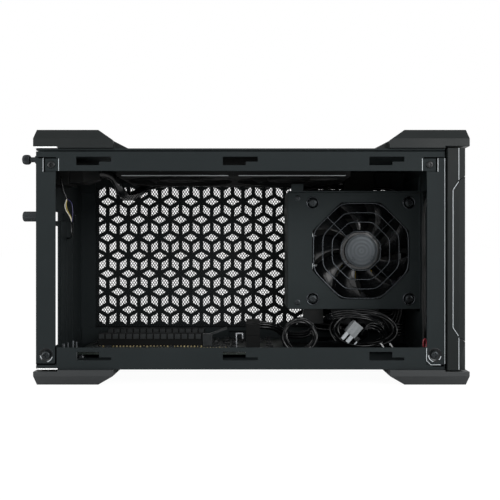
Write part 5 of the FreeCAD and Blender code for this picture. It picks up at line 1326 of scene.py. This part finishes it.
@dataclass
class Wiring:
    """All leads of the case, the wound spare lead, the loose plug and the thin coloured wires.

    Attributes:
        mains, board, drive, graphics: the leads that stand for CAD nodes.
        plug_turn: how far the loose plug is turned about Y in degrees.
        plug_shift: how far the loose plug lies from the middle of its CAD node in millimetres.
    """

    mains: Lead = Lead("mains_lead", (
        (-115.6, -27.0, 163.3), (-105.66, -27.0, 163.3), (-98.63, -27.0, 148.6), (-98.4, -2.7, 146.0),
        (-97.2, 43.8, 152.4), (-84.0, 57.84, 163.4), (-53.0, 57.84, 164.72), (39.7, 57.84, 162.5),
        (76.7, 55.0, 162.5), (91.5, 55.0, 162.5)), 3.7)
    board: Lead = Lead("board_lead", (
        (63.5, 47.0, 35.0), (63.5, 47.0, 24.5), (37.9, 39.0, 24.5), (27.0, 21.28, 36.0), (14.2, 21.28, 36.0)),
        1.1, ((0.0, 0.0), (2.4, 0.0), (-2.4, 0.0), (1.2, 2.1), (-1.2, 2.1), (1.2, -2.1), (-1.2, -2.1)))
    drive: Lead = Lead("drive_lead", (
        (88.5, 47.0, 35.0), (88.5, 47.0, 22.1), (64.35, 18.0, 22.1), (59.75, 3.6, 30.4), (59.75, -6.0, 30.4)),
        0.9, ((0.0, 0.0), (1.8, 0.0), (-1.8, 0.0), (0.0, 1.8)))
    graphics: Lead = Lead("graphics_lead", (
        (113.5, 47.0, 35.0), (113.5, 47.0, 22.1), (94.5, 19.2, 22.1), (90.9, 4.8, 34.0), (90.9, -6.0, 34.0)),
        1.0, ((0.0, 0.0), (2.0, 0.0), (-2.0, 0.0), (1.0, 1.8), (-1.0, 1.8), (1.0, -1.8)))
    plug_turn: float = -40.0
    plug_shift: Vector3 = (1.0, 0.0, 1.4)

    @staticmethod
    def wound(centre: Vector3, radii: tuple[float, float], turns: float, width: float,
              squash: float = 1.0) -> list[Vector3]:
        """A flat winding about Y: the radius grows, wavers a little, and the wire drifts to and fro in Y.

        Args:
            centre: middle of the winding in millimetres.
            radii: radius at its start and its end in millimetres.
            turns: number of turns.
            width: how far the wire drifts in Y in millimetres.
            squash: height of the winding as a share of its width.

        Returns:
            Control points of the wire.
        """
        angle = np.linspace(0.0, 2.0 * np.pi * turns, int(turns * 14))
        radius = radii[0] + (radii[1] - radii[0]) * angle / angle[-1] + 0.5 * np.sin(3.1 * angle)
        return np.stack([centre[0] + radius * np.cos(angle),
                         centre[1] + 0.5 * width * np.sin(1.37 * angle),
                         centre[2] + squash * radius * np.sin(angle)], -1).tolist()

    def loose_plug(self) -> None:
        """The grey terminal housing lying askew among the leads, with its bright terminals and its latch."""
        low, high = bounds_mm("graphics_plug")
        centre = 0.5 * (low + high) + np.array(self.plug_shift)
        turn = math.radians(self.plug_turn)
        askew = np.array([[math.cos(turn), 0.0, -math.sin(turn)], [0.0, 1.0, 0.0],
                          [math.sin(turn), 0.0, math.cos(turn)]])
        shell = Surface.boxes([[-4.6, -5.0, -5.2], [-2.0, -5.7, -4.6], [-5.2, -3.0, -3.4]],
                              [[4.6, 6.0, 6.4], [2.0, -5.0, 5.8], [-4.6, 4.0, 4.0]]).moved(askew, centre)
        housing = make_piece("loose_plug_housing", shell, Finishes.GREY_HOUSING_AND_RIM_HIGHLIGHT, "case", bevel=0.5)
        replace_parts(housing, "graphics_plug")
        blades = Surface.boxes([[-4.4, -5.6, -12.0], [0.2, -5.6, -11.4], [7.2, -5.0, -9.0]],
                               [[-1.4, -3.0, -5.0], [3.4, -3.0, -5.0], [8.4, -3.8, -2.6]])
        make_piece("loose_plug_terminals", blades.moved(askew, centre), Finishes.HIGHLIGHT_AND_TERMINAL_GREY, "case", bevel=0.4)
        latch = Surface.boxes([4.4, -5.0, -6.0], [8.8, -1.0, -2.2])
        make_piece("loose_plug_latch", latch.moved(askew, centre), Finishes.CONNECTOR, "case", bevel=0.4)

    def hanging_bundle(self) -> None:
        """Spare leads gathered under the power supply: they leave its underside, run along it and go up."""
        wires = [[(58.0 + 3.0 * row, 60.0 + 1.2 * row, 51.5),
                  (60.0 + 3.0 * row, 60.0 + 1.2 * row, 30.0 + 4.2 * row),
                  (78.0, 62.0 + row, 27.0 + 4.6 * row), (104.0, 61.0 + row, 29.0 + 4.3 * row),
                  (128.0, 62.0 + row, 26.0 + 4.6 * row), (146.0 - row, 62.0 + row, 28.0 + 4.4 * row),
                  (148.0 - 3.0 * row, 61.0 + row, 51.5)] for row in range(5)]
        make_wire("spare_lead_bundle", wires, 2.2, Finishes.JACKET)

    def near_loops(self) -> None:
        """Loops of thin wire in front of the bundle, from the sockets to the loose plug and the floor."""
        wide = self.wound((101.5, -3.0, 35.2), (22.0, 29.0), 5.6, 15.0, 0.55)
        ends = [[(88.5 + k, 44.0, 33.0), (73.0, 22.0 - k, 40.0 + k), (70.0 + k, 2.0 - 2.0 * k, 46.0 - k),
                 (84.0 + 2.0 * k, -6.0 - 1.6 * k, 51.5 - 1.6 * k),
                 (104.0 + 3.0 * k, -6.0 - 1.6 * k, 49.0 - 2.2 * k),
                 (121.0 + k, -2.0, 40.0 - 3.0 * k), (127.0 - 3.0 * k, 10.0, 24.0), (112.0, 18.0 + k, 15.8)]
                for k in range(4)]
        make_wire("thin_lead_loops", [wide, *ends], 0.8, Finishes.JACKET)
        close = [[(99.0, -9.0, 31.0 + 1.5 * k), (104.0, -11.0, 41.5 - 2.1 * k),
                  (114.0 - k, -11.0, 40.0 - 2.2 * k), (121.0 - 2.0 * k, -8.0, 32.0 - 1.8 * k),
                  (123.0 - 3.0 * k, -2.0, 16.0)] for k in range(3)]
        make_wire("loose_plug_leads", close, 0.8, Finishes.JACKET)
        ribs = [[(133.0, 22.0, z), (137.0, 18.0, z), (141.0, 22.0, z)] for z in 27.0 + 2.4 * np.arange(5)]
        make_wire("bound_lead_ends", ribs, 0.9, Finishes.JACKET)
        stubs = [[(117.6 + x, -9.0, 20.2), (116.8 + x, -9.6, 21.8), (115.0 + x, -10.0, 23.8)]
                 for x in (0.0, 7.6)]
        make_wire("white_tie_ends", stubs, 0.7, Finishes.WHITE_NYLON_AND_HIGHLIGHT)

    def rear_wires(self) -> None:
        """The thin earth lead behind the rear post: a black run, three colours in a loop, and a tail."""
        top, knot = (-139.3, -40.0, 142.2), (-135.4, -39.6, 124.0)
        run = [(-144.0, -40.0, 160.0), (-142.8, -41.0, 152.0), (-141.0, -41.0, 146.0), top]
        tail = [knot, (-136.5, -34.0, 117.0), (-143.0, -10.0, 111.0), (-154.6, 20.0, 112.0)]
        make_wire("earth_lead", [run, tail], 0.8, Finishes.JACKET)
        parted = (
            (Finishes.WHITE_WIRE, ((-141.4, -40.0, 138.0), (-140.2, -40.0, 133.0), (-137.0, -40.0, 128.7))),
            (Finishes.YELLOW_WIRE, ((-140.5, -39.0, 137.5), (-139.0, -39.0, 132.6), (-136.4, -39.4, 128.4))),
            (Finishes.PURPLE_WIRE, ((-135.7, -40.0, 140.2), (-134.9, -40.0, 135.0), (-134.7, -40.0, 129.0))))
        for number, (finish, middle) in enumerate(parted, 1):
            make_wire("earth_strand_%d" % number, [[top, *middle, knot]], 0.34, finish)

    def front_wires(self) -> None:
        """The front panel's lead beside the front post, with two red loops at its foot."""
        jackets = [[(158.0, -44.0 + k, 150.0), (151.0, -44.0 + k, 146.0), (143.6, -45.0 + k, 140.0),
                    (141.6 + 0.7 * k, -45.0 + k, 120.0), (142.4 + 0.5 * k, -46.0 + k, 90.0),
                    (141.4 + 0.8 * k, -46.0 + k, 60.0), (142.6 + 0.5 * k, -47.0 + k, 36.0),
                    (141.0 + 0.6 * k, -46.0 + k, 20.0), (136.0, -40.0 + k, 15.1)] for k in range(4)]
        make_wire("front_panel_lead", jackets, 0.9, Finishes.RUBBER)
        turn = np.linspace(0.0, 2.0 * np.pi, 14)
        rings = [np.stack([142.0 + 2.9 * k + 1.3 * np.cos(turn), np.full_like(turn, -52.0 + k),
                           29.0 + 3.6 * np.sin(turn)], -1).tolist() for k in range(2)]
        make_wire("red_loops", rings, 0.7, Finishes.RED_WIRE)

    def fan_wires(self) -> None:
        """The top fans' leads, run along the far side above the power supply and down to its top."""
        wires = [[(84.0, 45.0, 163.0 - k), (70.0, 62.0, 160.0 - k), (40.0, 66.5 + 0.4 * k, 159.0 - 3.2 * k),
                  (80.0, 67.0, 160.5 - 3.2 * k), (120.0, 66.6, 159.0 - 3.2 * k),
                  (142.0, 66.0, 159.5 - 3.2 * k), (149.0 - 2.0 * k, 64.0, 151.2)] for k in range(2)]
        make_wire("fan_leads", wires, 1.5, Finishes.JACKET)

    def build(self) -> None:
        """Make every lead and wire."""
        for lead in (self.mains, self.board, self.drive, self.graphics):
            lead.build()
        low, high = bounds_mm("drive_coil")
        coil = self.wound(tuple(0.5 * (low + high)), (11.6, 14.6), 6.4, 7.0)
        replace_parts(make_wire("spare_lead_winding", [coil], 1.2, Finishes.JACKET), "drive_coil")
        self.loose_plug()
        self.hanging_bundle()
        self.near_loops()
        self.rear_wires()
        self.front_wires()
        self.fan_wires()


# ---------------------------------------------------------------- floor, lights and camera

@dataclass
class Studio:
    """White floor and background, soft lights and the photo's level camera.

    Attributes:
        eye: camera place in metres.
        lens: focal length of the camera in millimetres.
        sensor: width of the camera's sensor in millimetres.
        fill: strength of the surroundings for light that isn't seen directly.
        paint: share of the light that the floor's paint gives back.
        glow: strength of the floor's own white.
        share: how much of its own white the floor shows to the eye; the rest takes the shadow.
        lamps: name, place, aim, size and power of each soft light, in metres and watts.
    """

    eye: Vector3 = (0.00596, -0.622, 0.1017)
    lens: float = 52.8
    sensor: float = 36.0
    fill: float = 0.5
    paint: float = 0.9
    glow: float = 1.05
    share: float = 0.92
    lamps: tuple[tuple[str, Vector3, Vector3, float, float], ...] = (
        ("front_fill", (0.05, -1.5, 0.42), (0.0, 0.0, 0.1), 1.0, 2.0),
        ("left_key", (-0.9, -1.0, 0.5), (0.0, 0.0, 0.1), 0.7, 4.0),
        ("right_key", (0.7, -1.1, 0.5), (-0.05, 0.0, 0.1), 0.7, 13.0),
        ("top_light", (0.1, 0.1, 1.3), (0.0, 0.0, 0.1), 1.0, 2.0),
        ("left_strip", (-1.1, -0.09, 0.15), (0.0, -0.07, 0.1), 0.5, 14.0),
        ("right_strip", (1.1, -0.09, 0.15), (0.0, -0.07, 0.1), 0.5, 10.0))

    def world(self) -> None:
        """White surroundings to the eye and to mirrors, softer as a light."""
        world = bpy.data.worlds.new("white_surroundings")
        tree = fresh_tree(world)
        path = add_node(tree, "LightPath").outputs
        seen = path["Is Camera Ray"]
        for ray in ("Is Glossy Ray", "Is Transmission Ray"):
            seen = add_node(tree, "Math", {0: seen, 1: path[ray]}, operation="MAXIMUM").outputs[0]
        level = add_node(tree, "MapRange", {"Value": seen, 3: self.fill, 4: 1.0})
        back = add_node(tree, "Background", {"Color": linear("#ffffff"), "Strength": level.outputs[0]})
        add_node(tree, "OutputWorld", {"Surface": back.outputs[0]})
        bpy.context.scene.world = world

    def floor(self) -> None:
        """A wide white floor: mostly its own white to the eye, the rest takes the shadow."""
        mesh = bpy.data.meshes.new("studio_floor")
        mesh.from_pydata([(-6, -3, 0), (6, -3, 0), (6, 12, 0), (-6, 12, 0)], [], [(0, 1, 2, 3)])
        material = bpy.data.materials.new("white_floor_paint")
        tree = fresh_tree(material)
        path = add_node(tree, "LightPath").outputs
        paint = add_node(tree, "BsdfDiffuse", {"Color": (self.paint, self.paint, self.paint, 1.0)})
        glow = add_node(tree, "Emission", {"Color": linear("#ffffff"), "Strength": self.glow})
        share = add_node(tree, "MapRange", {"Value": path["Is Camera Ray"], 3: 0.0, 4: self.share})
        mixed = add_node(tree, "MixShader", {0: share.outputs[0], 1: paint.outputs[0], 2: glow.outputs[0]})
        add_node(tree, "OutputMaterial", {"Surface": mixed.outputs[0]})
        mesh.materials.append(material)
        link_object("studio_floor", mesh)

    def light(self, name: str, place: Vector3, aim: Vector3, size: float, power: float) -> None:
        """One soft square light aimed at a point.

        Args:
            name: name of the light.
            place: its place in metres.
            aim: the point that it faces.
            size: length of its side in metres.
            power: its power in watts.
        """
        lamp = bpy.data.lights.new(name, "AREA")
        lamp.energy, lamp.size = power, size
        made = link_object(name, lamp)
        made.location = place
        towards = np.array(aim) - np.array(place)
        flat = math.hypot(towards[0], towards[1])
        made.rotation_euler = (math.atan2(flat, -towards[2]), 0.0, math.atan2(-towards[0], towards[1]))

    def camera(self) -> None:
        """The photo's level camera, which looks along Y."""
        lens = bpy.data.cameras.new("photo_camera")
        lens.lens, lens.sensor_width, lens.clip_start = self.lens, self.sensor, 0.01
        made = link_object("photo_camera", lens)
        made.location, made.rotation_euler = self.eye, (math.pi / 2.0, 0.0, 0.0)
        bpy.context.scene.camera = made

    def build(self) -> None:
        """Set the surroundings, floor, lights and camera."""
        self.world()
        self.floor()
        for lamp in self.lamps:
            self.light(*lamp)
        self.camera()
        bpy.context.scene.view_settings.view_transform = "Standard"


@dataclass
class MiniPcCase:
    """The whole visual case: dressed CAD nodes and the fine pieces that ride with them."""

    shell: Shell = field(default_factory=Shell)
    lines: EdgeLines = field(default_factory=EdgeLines)
    mesh: FilterMesh = field(default_factory=FilterMesh)
    rotors: tuple[Rotor, ...] = (Rotor("rear_fan", "rear_fan_rotor", AXIS_DOWN, Finishes.VINYL),
                                 Rotor("front_fan", "front_fan_rotor", AXIS_DOWN, Finishes.VINYL),
                                 Rotor("psu_fan", "psu_fan_rotor", AXIS_NEAR, Finishes.GLOSSY))
    guard: Guard = field(default_factory=Guard)
    fasteners: Fasteners = field(default_factory=Fasteners)
    fittings: BoardFittings = field(default_factory=BoardFittings)
    wiring: Wiring = field(default_factory=Wiring)

    def build(self) -> None:
        """Build every sub-assembly in turn."""
        for part in (self.shell, self.lines, self.mesh, *self.rotors, self.guard, self.fasteners,
                     self.fittings, self.wiring):
            LOG.info("building %s", type(part).__name__)
            part.build()


def main() -> None:
    """Build the case and its studio."""
    logging.basicConfig(level=logging.INFO, format="%(name)s: %(message)s")
    MiniPcCase().build()
    Studio().build()


if __name__ == "__main__":
    main()
